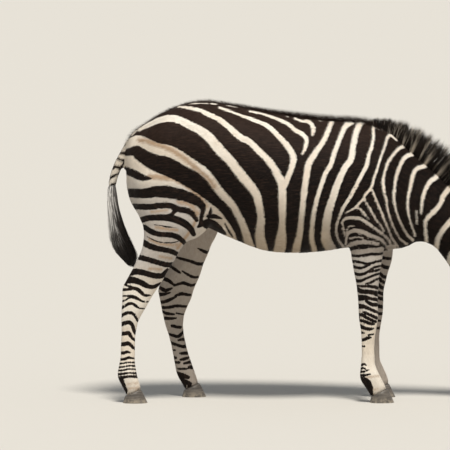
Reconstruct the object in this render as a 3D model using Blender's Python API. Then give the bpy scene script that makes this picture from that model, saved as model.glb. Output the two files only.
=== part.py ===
"""A plains zebra, life size, standing on four square hooves with its head lowered to graze.

+X is the way it faces, +Y is its left, +Z is up. The body is one smooth form made of lofted
tubes and a few muscles, fused, evened out and then parted by thin cuts into its named parts.
The ears, eyes, mane, tail and hooves are made on their own and set against the body.
"""

import math

import bmesh
import bpy
import numpy as np
from mathutils import Matrix, Vector

GAP = 0.0005  # left between one part and the next
VOXEL = 0.008  # how finely the tubes and muscles are fused
BODY_TRIANGLES = 3880
SMOOTHING_ROUNDS = 90
FINENESS = 0.01  # how much more of the detail is left on the head than on the trunk
RING_POINTS = 28
SMALL_RING_POINTS = 14
RINGS_PER_SPAN = 5
SMALL_RINGS_PER_SPAN = 3

COAT = (0.62, 0.57, 0.50)
HAIR = (0.05, 0.04, 0.04)
HORN = (0.10, 0.09, 0.08)
EYE = (0.02, 0.012, 0.008)

RIGHT, LEFT = -1, 1
BELOW, BEYOND = -0.2, 0.6  # under the floor, and wider than the body


# ---------------------------------------------------------------- tools

def clear_scene():
    for thing in list(bpy.data.objects):
        bpy.data.objects.remove(thing)


def material(name, colour, roughness):
    made = bpy.data.materials.new(name)
    made.use_nodes = True
    shader = made.node_tree.nodes["Principled BSDF"]
    shader.inputs["Base Color"].default_value = (*colour, 1)
    shader.inputs["Roughness"].default_value = roughness
    shader.inputs["Metallic"].default_value = 0
    return made


def new_object(name, mesh):
    made = bpy.data.objects.new(name, mesh)
    bpy.context.scene.collection.objects.link(made)
    return made


def mesh_from(bm, name="piece"):
    bmesh.ops.recalc_face_normals(bm, faces=bm.faces)
    mesh = bpy.data.meshes.new(name)
    bm.to_mesh(mesh)
    bm.free()
    return mesh


def modified(mesh, kind, **settings):
    """The mesh as one modifier leaves it."""
    holder = new_object("holder", mesh)
    modifier = holder.modifiers.new(kind, kind)
    for key, value in settings.items():
        setattr(modifier, key, value)
    graph = bpy.context.evaluated_depsgraph_get()
    made = bpy.data.meshes.new_from_object(holder.evaluated_get(graph))
    bpy.data.objects.remove(holder)
    return made


def boolean(mesh, other, operation):
    cutter = new_object("cutter", other)
    made = modified(mesh, "BOOLEAN", object=cutter, operation=operation, solver="EXACT")
    bpy.data.objects.remove(cutter)
    return made


def smooth_rows(rows, per_span=RINGS_PER_SPAN):
    """Catmull-Rom rows between the given ones."""
    rows = np.array(rows, float)
    held = np.vstack([2 * rows[0] - rows[1], rows, 2 * rows[-1] - rows[-2]])
    made = []
    for i in range(1, len(rows)):
        p0, p1, p2, p3 = held[i - 1 : i + 3]
        for t in np.arange(per_span) / per_span:
            made.append(
                0.5 * (2 * p1 + (p2 - p0) * t + (2 * p0 - 5 * p1 + 4 * p2 - p3) * t**2
                       + (3 * p1 - p0 - 3 * p2 + p3) * t**3)
            )
    made.append(rows[-1])
    return made


def ring(low, high, half_width, y_mid, widest=0.5, low_power=2.0, high_power=2.0, count=RING_POINTS):
    """Points round a section that runs from low to high, (x, z) each. It is half_width wide to
    either side of y_mid at the share widest of its height. A power under 2 makes that end lean."""
    points = []
    for step in range(count):
        turn = 2 * math.pi * step / count
        along, across = math.cos(turn), math.sin(turn)
        power = high_power if along > 0 else low_power
        along = math.copysign(abs(along) ** (2 / power), along)
        across = math.copysign(abs(across) ** (2 / power), across)
        share = widest + along * ((1 - widest) if along > 0 else widest)
        points.append((
            low[0] + (high[0] - low[0]) * share,
            y_mid + half_width * across,
            low[1] + (high[1] - low[1]) * share,
        ))
    return points


def tube(rings):
    """A closed tube through rings of equal count."""
    bm = bmesh.new()
    loops = [[bm.verts.new(point) for point in points] for points in rings]
    for a, b in zip(loops, loops[1:]):
        for i in range(len(a)):
            j = (i + 1) % len(a)
            bm.faces.new((a[i], a[j], b[j], b[i]))
    bm.faces.new(loops[0])
    bm.faces.new(loops[-1])
    return mesh_from(bm)


def sections(rows, per_span=RINGS_PER_SPAN, count=RING_POINTS):
    """A tube whose rows are (low x, low z, high x, high z, half width, y, widest share, both powers)."""
    return tube([ring(r[0:2], r[2:4], r[4], r[5], *r[6:9], count) for r in smooth_rows(rows, per_span)])


def muscle(centre, radii, lean=0.0, turn=0.0, spread=0.0):
    """An ellipsoid. It leans about Y, turns about Z and spreads about X, in degrees."""
    bm = bmesh.new()
    bmesh.ops.create_icosphere(bm, subdivisions=3, radius=1)
    place = (
        Matrix.Translation(centre)
        @ Matrix.Rotation(math.radians(turn), 4, "Z")
        @ Matrix.Rotation(math.radians(lean), 4, "Y")
        @ Matrix.Rotation(math.radians(spread), 4, "X")
        @ Matrix.Diagonal((*radii, 1))
    )
    bmesh.ops.transform(bm, matrix=place, verts=bm.verts)
    return mesh_from(bm)


def ball(centre, radius):
    bm = bmesh.new()
    bmesh.ops.create_uvsphere(bm, u_segments=14, v_segments=9, radius=radius)
    bmesh.ops.translate(bm, vec=centre, verts=bm.verts)
    return mesh_from(bm)


def both_sides(make, centre, radii, lean=0.0, turn=0.0, spread=0.0):
    x, y, z = centre
    return [make((x, side * y, z), radii, lean, side * turn, side * spread) for side in (RIGHT, LEFT)]


def prism(outline, low, high, axis="Y"):
    """An (x, z) outline carried along Y, or a (y, z) one along X, from low to high."""
    bm = bmesh.new()
    ends = []
    for at in (low, high):
        places = [(p, at, q) if axis == "Y" else (at, p, q) for p, q in outline]
        ends.append([bm.verts.new(place) for place in places])
    for i in range(len(outline)):
        j = (i + 1) % len(outline)
        bm.faces.new((ends[0][i], ends[0][j], ends[1][j], ends[1][i]))
    bm.faces.new(ends[0])
    bm.faces.new(ends[1])
    return mesh_from(bm)


def grown(mesh, by):
    """A copy pushed out along its normals."""
    made = mesh.copy()
    bm = bmesh.new()
    bm.from_mesh(made)
    bm.normal_update()
    for vertex in bm.verts:
        vertex.co += vertex.normal * by
    bm.to_mesh(made)
    bm.free()
    return made


def fused(meshes):
    """One even skin round all the overlapping meshes."""
    bm = bmesh.new()
    for mesh in meshes:
        bm.from_mesh(mesh)
    return modified(mesh_from(bm), "REMESH", mode="VOXEL", voxel_size=VOXEL)


def relaxed(mesh, rounds, inward=0.5, outward=-0.52):
    """Evens out creases. Each round draws the points together and pushes them back, to keep the bulk."""
    count = len(mesh.vertices)
    places = np.empty(count * 3, np.float32)
    mesh.vertices.foreach_get("co", places)
    places = places.reshape(-1, 3).astype(float)
    ends = np.empty(len(mesh.edges) * 2, np.int32)
    mesh.edges.foreach_get("vertices", ends)
    one, two = ends.reshape(-1, 2).T
    valence = np.maximum(np.bincount(one, minlength=count) + np.bincount(two, minlength=count), 1)
    for _ in range(rounds):
        for share in (inward, outward):
            total = np.zeros_like(places)
            for axis in range(3):
                total[:, axis] = (
                    np.bincount(one, places[two, axis], count) + np.bincount(two, places[one, axis], count)
                )
            places += share * (total / valence[:, None] - places)
    mesh.vertices.foreach_set("co", places.astype(np.float32).ravel())
    mesh.update()
    return mesh


def thinned(mesh, triangles):
    """The mesh brought down to about so many triangles, the most of them on the head and the feet."""
    holder = new_object("holder", mesh)
    plain = holder.vertex_groups.new(name="plain")
    for vertex in mesh.vertices:
        x, _, z = vertex.co
        head = min(max((x - z * 0.55 - 0.55) / 0.15, 0), 1)
        foot = min(max((0.62 - z) / 0.25, 0), 1) * 0.5
        plain.add([vertex.index], 1 - 0.9 * max(head, foot), "REPLACE")
    modifier = holder.modifiers.new("thin", "DECIMATE")
    modifier.ratio = triangles / (2 * len(mesh.polygons))
    modifier.use_collapse_triangulate = True
    modifier.vertex_group = "plain"
    modifier.vertex_group_factor = FINENESS
    graph = bpy.context.evaluated_depsgraph_get()
    made = bpy.data.meshes.new_from_object(holder.evaluated_get(graph))
    bpy.data.objects.remove(holder)
    return made


# ---------------------------------------------------------------- trunk and neck

# Each row: low x, low z, high x, high z, half width, y, widest share, low power, high power
TRUNK = [
    (-0.572, 0.960, -0.572, 1.150, 0.070, 0, 0.50, 2.0, 2.0),
    (-0.545, 0.880, -0.545, 1.207, 0.135, 0, 0.50, 2.2, 2.0),
    (-0.480, 0.800, -0.480, 1.256, 0.190, 0, 0.50, 2.3, 2.1),
    (-0.370, 0.780, -0.370, 1.318, 0.232, 0, 0.52, 2.3, 2.2),
    (-0.240, 0.788, -0.240, 1.353, 0.250, 0, 0.50, 2.2, 2.2),
    (-0.100, 0.727, -0.100, 1.337, 0.268, 0, 0.48, 2.2, 2.1),
    (0.050, 0.671, 0.050, 1.307, 0.288, 0, 0.45, 2.2, 2.0),
    (0.200, 0.660, 0.200, 1.285, 0.290, 0, 0.44, 2.2, 1.9),
    (0.320, 0.668, 0.320, 1.270, 0.272, 0, 0.44, 2.2, 1.85),
    (0.430, 0.684, 0.430, 1.264, 0.238, 0, 0.44, 2.2, 1.75),
    (0.530, 0.686, 0.530, 1.252, 0.205, 0, 0.42, 2.2, 1.7),
    (0.620, 0.674, 0.620, 1.190, 0.180, 0, 0.42, 2.2, 1.8),
    (0.700, 0.690, 0.700, 1.100, 0.140, 0, 0.42, 2.1, 1.8),
    (0.748, 0.724, 0.748, 0.990, 0.085, 0, 0.45, 2.0, 2.0),
]

# The neck runs from the shoulders down to the head. Low is the throat and high the crest.
NECK = [
    (0.560, 0.740, 0.480, 1.240, 0.150, 0, 0.42, 2.0, 1.7),
    (0.660, 0.695, 0.600, 1.226, 0.148, 0, 0.42, 2.0, 1.6),
    (0.745, 0.712, 0.690, 1.148, 0.132, 0, 0.40, 2.0, 1.5),
    (0.812, 0.690, 0.790, 1.062, 0.116, 0, 0.40, 2.0, 1.5),
    (0.862, 0.630, 0.885, 0.976, 0.104, 0, 0.40, 2.0, 1.5),
    (0.905, 0.560, 0.975, 0.880, 0.096, 0, 0.42, 2.0, 1.5),
    (0.945, 0.490, 1.048, 0.768, 0.090, 0, 0.46, 2.0, 1.6),
    (0.985, 0.420, 1.100, 0.660, 0.086, 0, 0.50, 2.0, 1.7),
]


def trunk_and_neck():
    made = [sections(TRUNK), sections(NECK)]
    made += both_sides(muscle, (-0.330, 0.105, 1.110), (0.190, 0.125, 0.190), lean=25)  # croup
    made += both_sides(muscle, (-0.430, 0.115, 0.930), (0.105, 0.108, 0.200), lean=-8)  # ham
    made += both_sides(muscle, (-0.260, 0.140, 0.880), (0.100, 0.095, 0.160), lean=20)  # thigh
    made += both_sides(muscle, (0.520, 0.100, 0.985), (0.095, 0.090, 0.200), lean=-20, spread=12)  # blade
    made += both_sides(muscle, (0.625, 0.088, 0.850), (0.090, 0.080, 0.115), lean=-30)  # point of shoulder
    made += both_sides(muscle, (0.480, 0.130, 0.850), (0.100, 0.080, 0.130), lean=-35)  # triceps
    made += both_sides(muscle, (0.660, 0.055, 0.790), (0.080, 0.060, 0.085))  # breast
    return made


# ---------------------------------------------------------------- head

POLL = Vector((1.105, 0, 0.655))
FACE_SLOPE = math.radians(74)  # of the face below level
DOWN_FACE = Vector((math.cos(FACE_SLOPE), 0, -math.sin(FACE_SLOPE)))
OFF_FACE = Vector((math.sin(FACE_SLOPE), 0, math.cos(FACE_SLOPE)))
EYE_DOWN, EYE_OFF, EYE_OUT, EYE_RADIUS = 0.172, -0.008, 0.070, 0.0215

# Each row: way down the face, jaw line, face line, half width, widest share, jaw power, face power
HEAD = [
    (-0.020, -0.105, -0.022, 0.050, 0.55, 2.0, 2.0),
    (0.015, -0.150, 0.006, 0.070, 0.60, 2.0, 2.2),
    (0.060, -0.180, 0.028, 0.084, 0.64, 1.8, 2.3),
    (0.110, -0.196, 0.040, 0.091, 0.68, 1.7, 2.4),
    (0.160, -0.192, 0.043, 0.090, 0.72, 1.7, 2.4),
    (0.215, -0.168, 0.039, 0.076, 0.68, 1.8, 2.3),
    (0.280, -0.138, 0.031, 0.061, 0.62, 1.9, 2.2),
    (0.350, -0.116, 0.021, 0.050, 0.56, 2.0, 2.2),
    (0.410, -0.105, 0.013, 0.046, 0.52, 2.1, 2.2),
    (0.460, -0.107, 0.008, 0.051, 0.55, 2.2, 2.3),
    (0.500, -0.104, -0.004, 0.050, 0.56, 2.2, 2.3),
    (0.525, -0.092, -0.022, 0.040, 0.55, 2.1, 2.2),
    (0.536, -0.076, -0.040, 0.022, 0.50, 2.0, 2.0),
]


def on_head(down, off, out=0.0):
    """A place on the head: so far down the face from the poll, off its line, and out to the left."""
    return POLL + DOWN_FACE * down + OFF_FACE * off + Vector((0, out, 0))


def head_forms():
    rows = []
    for down, jaw, face, half_width, widest, jaw_power, face_power in HEAD:
        low, high = on_head(down, jaw), on_head(down, face)
        rows.append((low.x, low.z, high.x, high.z, half_width, 0, widest, jaw_power, face_power))
    made = [sections(rows)]
    tilt = 90 - math.degrees(FACE_SLOPE)  # stands a form's long axis along the face
    for out, down, off, radii in (
        (0.052, 0.125, -0.110, (0.062, 0.030, 0.085)),  # cheek
        (0.066, 0.156, 0.004, (0.030, 0.027, 0.040)),  # brow
        (0.030, 0.480, -0.024, (0.026, 0.022, 0.030)),  # nostril
        (0.045, 0.215, -0.052, (0.020, 0.026, 0.075)),  # cheek crest
    ):
        for side in (RIGHT, LEFT):
            made.append(muscle(on_head(down, off, side * out), radii, lean=-tilt))
    made.append(muscle(on_head(0.488, -0.094), (0.026, 0.034, 0.030), lean=-tilt))  # chin
    made.append(muscle(on_head(0.020, -0.020), (0.042, 0.062, 0.045), lean=-tilt))  # poll
    return made


# ---------------------------------------------------------------- legs

# Each row: height, back x, front x, y out from the middle, half width
HIND_RIGHT = [
    (1.020, -0.545, -0.190, 0.120, 0.110),
    (0.930, -0.528, -0.182, 0.132, 0.112),
    (0.850, -0.506, -0.208, 0.142, 0.104),
    (0.780, -0.492, -0.252, 0.146, 0.090),
    (0.735, -0.492, -0.286, 0.146, 0.078),
    (0.690, -0.500, -0.322, 0.144, 0.068),
    (0.645, -0.520, -0.346, 0.142, 0.059),
    (0.600, -0.544, -0.374, 0.140, 0.052),
    (0.555, -0.568, -0.398, 0.138, 0.045),
    (0.520, -0.589, -0.420, 0.137, 0.040),
    (0.482, -0.590, -0.446, 0.136, 0.039),
    (0.445, -0.590, -0.466, 0.135, 0.038),
    (0.410, -0.593, -0.486, 0.134, 0.036),
    (0.370, -0.594, -0.509, 0.133, 0.031),
    (0.325, -0.593, -0.519, 0.132, 0.026),
    (0.260, -0.596, -0.524, 0.131, 0.025),
    (0.200, -0.599, -0.526, 0.130, 0.027),
    (0.158, -0.607, -0.522, 0.130, 0.032),
    (0.125, -0.611, -0.516, 0.130, 0.035),
    (0.095, -0.603, -0.508, 0.130, 0.032),
    (0.065, -0.586, -0.496, 0.130, 0.031),
    (0.020, -0.566, -0.480, 0.130, 0.030),
]
HIND_LEFT = [
    (1.020, -0.535, -0.170, 0.120, 0.110),
    (0.930, -0.505, -0.140, 0.132, 0.112),
    (0.850, -0.470, -0.135, 0.142, 0.104),
    (0.780, -0.435, -0.145, 0.146, 0.090),
    (0.735, -0.405, -0.160, 0.146, 0.078),
    (0.690, -0.370, -0.184, 0.144, 0.068),
    (0.645, -0.352, -0.201, 0.142, 0.059),
    (0.600, -0.373, -0.221, 0.140, 0.052),
    (0.560, -0.401, -0.232, 0.138, 0.045),
    (0.520, -0.423, -0.248, 0.137, 0.041),
    (0.480, -0.434, -0.265, 0.136, 0.040),
    (0.445, -0.426, -0.275, 0.135, 0.038),
    (0.405, -0.419, -0.294, 0.134, 0.036),
    (0.370, -0.412, -0.306, 0.133, 0.031),
    (0.325, -0.401, -0.311, 0.132, 0.027),
    (0.260, -0.381, -0.302, 0.131, 0.025),
    (0.200, -0.367, -0.289, 0.130, 0.027),
    (0.150, -0.358, -0.272, 0.130, 0.032),
    (0.110, -0.350, -0.259, 0.130, 0.035),
    (0.085, -0.340, -0.250, 0.130, 0.032),
    (0.060, -0.325, -0.240, 0.130, 0.031),
    (0.020, -0.305, -0.222, 0.130, 0.030),
]
FORE_RIGHT = [
    (0.900, 0.420, 0.640, 0.115, 0.085),
    (0.820, 0.408, 0.635, 0.128, 0.088),
    (0.760, 0.414, 0.616, 0.132, 0.080),
    (0.706, 0.424, 0.598, 0.132, 0.069),
    (0.666, 0.433, 0.585, 0.130, 0.061),
    (0.621, 0.442, 0.576, 0.128, 0.055),
    (0.576, 0.450, 0.569, 0.126, 0.050),
    (0.531, 0.459, 0.565, 0.124, 0.045),
    (0.486, 0.464, 0.562, 0.122, 0.042),
    (0.441, 0.468, 0.562, 0.121, 0.041),
    (0.396, 0.469, 0.563, 0.120, 0.042),
    (0.351, 0.475, 0.559, 0.119, 0.039),
    (0.315, 0.481, 0.553, 0.118, 0.033),
    (0.272, 0.482, 0.549, 0.117, 0.027),
    (0.216, 0.482, 0.549, 0.116, 0.026),
    (0.175, 0.480, 0.551, 0.116, 0.028),
    (0.145, 0.476, 0.561, 0.116, 0.033),
    (0.117, 0.474, 0.575, 0.116, 0.035),
    (0.090, 0.484, 0.590, 0.116, 0.032),
    (0.063, 0.503, 0.602, 0.116, 0.031),
    (0.020, 0.526, 0.622, 0.116, 0.030),
]
# How much further forward the left foreleg stands than the right one, at each height
FORE_LEFT_SHIFT = [
    (0.90, 0.020), (0.76, 0.048), (0.62, 0.058), (0.48, 0.034), (0.27, 0.028), (0.12, 0.030), (0.0, 0.014),
]


def leg(rows, side, low_power=2.0, high_power=2.0):
    return sections([
        (back, height, front, height, half_width, side * out, 0.5, low_power, high_power)
        for height, back, front, out, half_width in rows
    ])


def shifted(rows, shifts):
    """The same leg set further forward, by a length that changes with height."""
    heights, lengths = zip(*sorted(shifts))
    return [
        (height, back + by, front + by, out, half_width)
        for height, back, front, out, half_width in rows
        for by in [float(np.interp(height, heights, lengths))]
    ]


FORE_LEFT = shifted(FORE_RIGHT, FORE_LEFT_SHIFT)


def leg_forms():
    made = [leg(HIND_RIGHT, RIGHT), leg(HIND_LEFT, LEFT), leg(FORE_RIGHT, RIGHT), leg(FORE_LEFT, LEFT)]
    for rows, side in ((HIND_RIGHT, RIGHT), (HIND_LEFT, LEFT)):
        height, back, front, out, half_width = rows[9]
        hock_point = (back + 0.018, side * out, height - 0.010)
        made.append(muscle(hock_point, (0.018, 0.019, 0.034), lean=12))
    return made


# ---------------------------------------------------------------- hooves

HOOF_LENGTH, HOOF_WIDTH = 0.112, 0.081
TOE_HEIGHT, HEEL_HEIGHT = 0.064, 0.031
TOE_RISE, HEEL_RISE = 0.031, 0.010  # how far the toe leans back on the way up, and the heel forward
HOOF_POINTS, HOOF_WIDEST = 18, 0.52
HOOF = [  # share of the way up, share of the full width, share of the length drawn in at each end
    (0.00, 1.00, 0.00),
    (0.06, 0.99, 0.00),
    (0.50, 0.93, 0.00),
    (0.92, 0.87, 0.00),
    (1.00, 0.80, 0.05),
]
HOOVES = {
    "hind_right": (-0.584, RIGHT * 0.130),
    "hind_left": (-0.322, LEFT * 0.130),
    "fore_right": (0.522, RIGHT * 0.116),
    "fore_left": (0.536, LEFT * 0.116),
}


def coronet(heel_x):
    """The ends of the sloping line over a hoof's top, at the heel and at the toe."""
    heel_top = Vector((heel_x + HEEL_RISE, HEEL_HEIGHT))
    toe_top = Vector((heel_x + HOOF_LENGTH - TOE_RISE, TOE_HEIGHT))
    return heel_top, toe_top


def under_coronet(heel_x):
    """All that lies under the slope of a hoof's top and GAP over it, for trimming the pastern."""
    heel_top, toe_top = coronet(heel_x)
    slope = toe_top - heel_top
    back = heel_top - slope + Vector((0, GAP))
    front = toe_top + slope + Vector((0, GAP))
    return prism([back, front, (front.x, BELOW), (back.x, BELOW)], -BEYOND, BEYOND)


def hoof(heel_x, y):
    heel, toe = Vector((heel_x, 0)), Vector((heel_x + HOOF_LENGTH, 0))
    heel_top, toe_top = coronet(heel_x)
    rings = []
    for rise, width, inset in HOOF:
        low, high = heel.lerp(heel_top, rise), toe.lerp(toe_top, rise)
        rings.append(ring(
            low.lerp(high, inset), high.lerp(low, inset), HOOF_WIDTH / 2 * width, y,
            HOOF_WIDEST, 2.6, 2.0, HOOF_POINTS,
        ))
    return tube(rings)


# ---------------------------------------------------------------- ears, mane and tail

EAR_LENGTH, EAR_WIDTH, EAR_WALL = 0.172, 0.084, 0.006
EAR_STEPS, EAR_WRAP = 6, 84  # steps across the cup, and how far it curls to each side in degrees
# height share, half width share, depth of the cup, share of the depth that is hollow
EAR = [
    (-0.20, 0.62, 0.026, -0.80),
    (0.00, 0.60, 0.028, -0.70),
    (0.16, 0.72, 0.032, 0.10),
    (0.32, 0.92, 0.032, 0.78),
    (0.54, 1.00, 0.027, 0.78),
    (0.76, 0.86, 0.019, 0.70),
    (0.92, 0.52, 0.010, 0.50),
    (1.00, 0.18, 0.004, 0.20),
]


def ear(side):
    """A tall cup with a rounded tip, open to the front and side, on a solid root."""
    root = on_head(-0.002, -0.014, side * 0.054)
    up = (-DOWN_FACE * 0.86 + OFF_FACE * 0.10 + Vector((0, side * 0.42, 0))).normalized()
    mouth = OFF_FACE * 0.66 + Vector((0, side * 0.75, 0))
    mouth = (mouth - up * mouth.dot(up)).normalized()
    across = up.cross(mouth)
    rings = []
    for height, width, depth, hollow in smooth_rows(EAR, 2):
        middle = root + up * (EAR_LENGTH * height) - mouth * (0.012 * math.sin(math.pi * max(height, 0)))
        half = EAR_WIDTH / 2 * width
        outer, inner = [], []
        for step in range(EAR_STEPS + 1):
            lean = math.radians(EAR_WRAP * (2 * step / EAR_STEPS - 1))
            outer.append(middle + across * (half * math.sin(lean)) - mouth * (depth * math.cos(lean)))
            thin = max(half - EAR_WALL, half * 0.45)
            dip = min(depth * hollow, depth - EAR_WALL / 2)
            inner.append(middle + across * (thin * math.sin(lean)) - mouth * (dip * math.cos(lean)))
        rings.append(outer + inner[::-1])
    return tube(rings)


MANE_HEIGHT, MANE_FOOT, MANE_EDGE = 0.094, 0.017, 0.006
# crest x, crest z, share of full height, lean of the hair in degrees ahead of upright
MANE = [
    (0.500, 1.250, 0.05, 4),
    (0.545, 1.240, 0.50, 8),
    (0.600, 1.222, 0.56, 14),
    (0.690, 1.144, 1.00, 28),
    (0.790, 1.056, 1.10, 38),
    (0.885, 0.970, 1.10, 46),
    (0.975, 0.872, 1.04, 56),
    (1.048, 0.760, 0.96, 68),
    (1.104, 0.665, 0.84, 80),
    (1.130, 0.612, 0.66, 90),
    (1.142, 0.580, 0.30, 100),
]


def mane():
    rings = []
    for x, z, share, lean in smooth_rows(MANE, SMALL_RINGS_PER_SPAN - 1):
        up = Vector((math.sin(math.radians(lean)), 0, math.cos(math.radians(lean))))
        foot = Vector((x, 0, z)) - up * 0.030
        rings.append([
            foot + up * (0.030 + MANE_HEIGHT * share) * rise + Vector((0, wide, 0))
            for rise, wide in (
                (0, MANE_FOOT), (0.6, MANE_FOOT * 0.8), (1, MANE_EDGE),
                (1, -MANE_EDGE), (0.6, -MANE_FOOT * 0.8), (0, -MANE_FOOT),
            )
        ])
    return tube(rings)


# Each row: inner x and z (against the body), outer x and z, half width
DOCK = [
    (-0.470, 1.190, -0.500, 1.236, 0.024, 0, 0.5, 2.0, 2.0),
    (-0.522, 1.140, -0.556, 1.189, 0.027, 0, 0.5, 2.0, 2.0),
    (-0.565, 1.088, -0.598, 1.123, 0.027, 0, 0.5, 2.0, 2.0),
    (-0.588, 1.040, -0.630, 1.062, 0.026, 0, 0.5, 2.0, 2.0),
    (-0.606, 0.995, -0.648, 1.006, 0.024, 0, 0.5, 2.0, 2.0),
    (-0.612, 0.955, -0.656, 0.958, 0.022, 0, 0.5, 2.0, 2.0),
]
SWITCH = [
    (-0.612, 0.955, -0.656, 0.958, 0.022, 0, 0.5, 2.0, 2.0),
    (-0.610, 0.900, -0.656, 0.894, 0.026, 0, 0.5, 2.0, 2.0),
    (-0.596, 0.850, -0.650, 0.830, 0.031, 0, 0.5, 2.0, 2.0),
    (-0.572, 0.788, -0.644, 0.760, 0.034, 0, 0.5, 2.0, 2.0),
    (-0.545, 0.730, -0.632, 0.700, 0.034, 0, 0.5, 2.0, 2.0),
    (-0.522, 0.680, -0.606, 0.652, 0.029, 0, 0.5, 2.0, 2.0),
    (-0.520, 0.640, -0.576, 0.618, 0.018, 0, 0.5, 2.0, 2.0),
    (-0.538, 0.604, -0.556, 0.596, 0.006, 0, 0.5, 2.0, 2.0),
]


def tail_form(rows):
    return sections(rows, SMALL_RINGS_PER_SPAN, SMALL_RING_POINTS)


# ---------------------------------------------------------------- parting the body

MUZZLE_LINE = (on_head(0.375, -0.25).xz, on_head(0.375, 0.15).xz)
HEAD_LINE = ((0.732, 0.215), (1.282, 0.840))
NECK_LINE = ((0.800, 0.140), (0.500, 1.400))
DOCK_LINE = ((-0.700, 0.965), (-0.500, 0.965))
THIGH = (-0.80, -0.125, 1.020, 0.790)  # back, front, and the top's height at each
FOREARM = (0.395, 0.690, 0.664, 0.664)
LEGS = (  # name, rows, cutter, height of the knee or hock cut, height of the fetlock cut
    ("hind_right", HIND_RIGHT, (*THIGH, RIGHT), 0.405, 0.150),
    ("hind_left", HIND_LEFT, (*THIGH, LEFT), 0.390, 0.138),
    ("fore_right", FORE_RIGHT, (*FOREARM, RIGHT, 0.030), 0.345, 0.142),
    ("fore_left", FORE_LEFT, (*FOREARM, LEFT, 0.030), 0.345, 0.142),
)


def parted(body, cutter_of):
    """(the piece inside the cutter, the rest), with half of GAP taken from each. cutter_of makes
    the cutter, larger or smaller by the length that it is given."""
    inside = boolean(body.copy(), cutter_of(-GAP / 2), "INTERSECT")
    return inside, boolean(body, cutter_of(GAP / 2), "DIFFERENCE")


def line_cut(a, b, reach=1.2):
    """A cutter on the right-hand side of the line from a to b, (x, z) each, going reach away."""
    a, b = Vector(a), Vector(b)
    way = (b - a).normalized()
    away = Vector((way.y, -way.x))

    def make(by):
        near_a, near_b = a - away * by, b - away * by
        return prism([near_a, near_b, near_b + away * reach, near_a + away * reach], -BEYOND, BEYOND)

    return make


def leg_cut(back, front, top_back, top_front, side, inner=GAP / 2):
    """A cutter for one side's leg, from back to front and from inner outwards, below a straight top."""
    def make(by):
        outline = [
            (back - by, BELOW), (back - by, top_back + by),
            (front + by, top_front + by), (front + by, BELOW),
        ]
        return prism(outline, *sorted((side * (inner - by), side * BEYOND)))

    return make


def joint_cut(rows, height):
    """A cutter for all of one leg below a height. It reaches only round that leg."""
    near = [row for row in rows if row[0] <= height + 0.05]
    back = min(row[1] for row in near) - 0.06
    front = max(row[2] for row in near) + 0.06

    def make(by):
        outline = [(back, BELOW), (front, BELOW), (front, height + by), (back, height + by)]
        return prism(outline, -BEYOND, BEYOND)

    return make


def build():
    clear_scene()
    coat = material("coat", COAT, 0.8)
    hair = material("hair", HAIR, 0.7)
    horn = material("horn", HORN, 0.5)
    eye_gloss = material("eye", EYE, 0.1)
    body = relaxed(fused(trunk_and_neck() + head_forms() + leg_forms()), SMOOTHING_ROUNDS)
    body = thinned(body, BODY_TRIANGLES)
    around = grown(body, GAP)
    parts = {}

    # The eyes' sockets, then the head and the neck
    for side, name in ((RIGHT, "eye_right"), (LEFT, "eye_left")):
        at = on_head(EYE_DOWN, EYE_OFF, side * EYE_OUT)
        body = boolean(body, ball(at, EYE_RADIUS + GAP), "DIFFERENCE")
        parts[name] = (ball(at, EYE_RADIUS), eye_gloss)
    for name, line in (("muzzle", MUZZLE_LINE), ("head", HEAD_LINE), ("neck", NECK_LINE)):
        piece, body = parted(body, line_cut(*line))
        parts[name] = (piece, coat)

    # The legs, each in three lengths and a hoof
    for name, rows, bounds, knee, fetlock in LEGS:
        whole_leg, body = parted(body, leg_cut(*bounds))
        foot, whole_leg = parted(whole_leg, joint_cut(rows, fetlock))
        cannon, upper = parted(whole_leg, joint_cut(rows, knee))
        parts[f"leg_{name}_upper"] = (upper, coat)
        parts[f"leg_{name}_cannon"] = (cannon, coat)
        parts[f"leg_{name}_pastern"] = (boolean(foot, under_coronet(HOOVES[name][0]), "DIFFERENCE"), coat)
        parts[f"hoof_{name}"] = (hoof(*HOOVES[name]), horn)
    parts["trunk"] = (body, coat)

    # What stands on the body is trimmed to meet it
    for side, name in ((RIGHT, "ear_right"), (LEFT, "ear_left")):
        parts[name] = (boolean(ear(side), around.copy(), "DIFFERENCE"), coat)
    parts["mane"] = (boolean(mane(), around.copy(), "DIFFERENCE"), hair)
    dock_end = line_cut(*DOCK_LINE)
    dock = boolean(tail_form(DOCK), dock_end(GAP / 2), "DIFFERENCE")
    parts["tail_dock"] = (boolean(dock, around.copy(), "DIFFERENCE"), coat)
    switch = boolean(tail_form(SWITCH), dock_end(-GAP / 2), "INTERSECT")
    parts["tail_switch"] = (boolean(switch, around.copy(), "DIFFERENCE"), hair)

    places = [vertex.co for mesh, _ in parts.values() for vertex in mesh.vertices]
    middle = [(min(at[axis] for at in places) + max(at[axis] for at in places)) / 2 for axis in (0, 1)]
    for name, (mesh, finish) in parts.items():
        mesh.transform(Matrix.Translation((-middle[0], -middle[1], 0)))
        mesh.materials.clear()
        mesh.materials.append(finish)
        mesh.shade_smooth()
        new_object(name, mesh)


build()
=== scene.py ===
import math

import bmesh
import bpy
import numpy as np
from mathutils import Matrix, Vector
from mathutils.bvhtree import BVHTree


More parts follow.
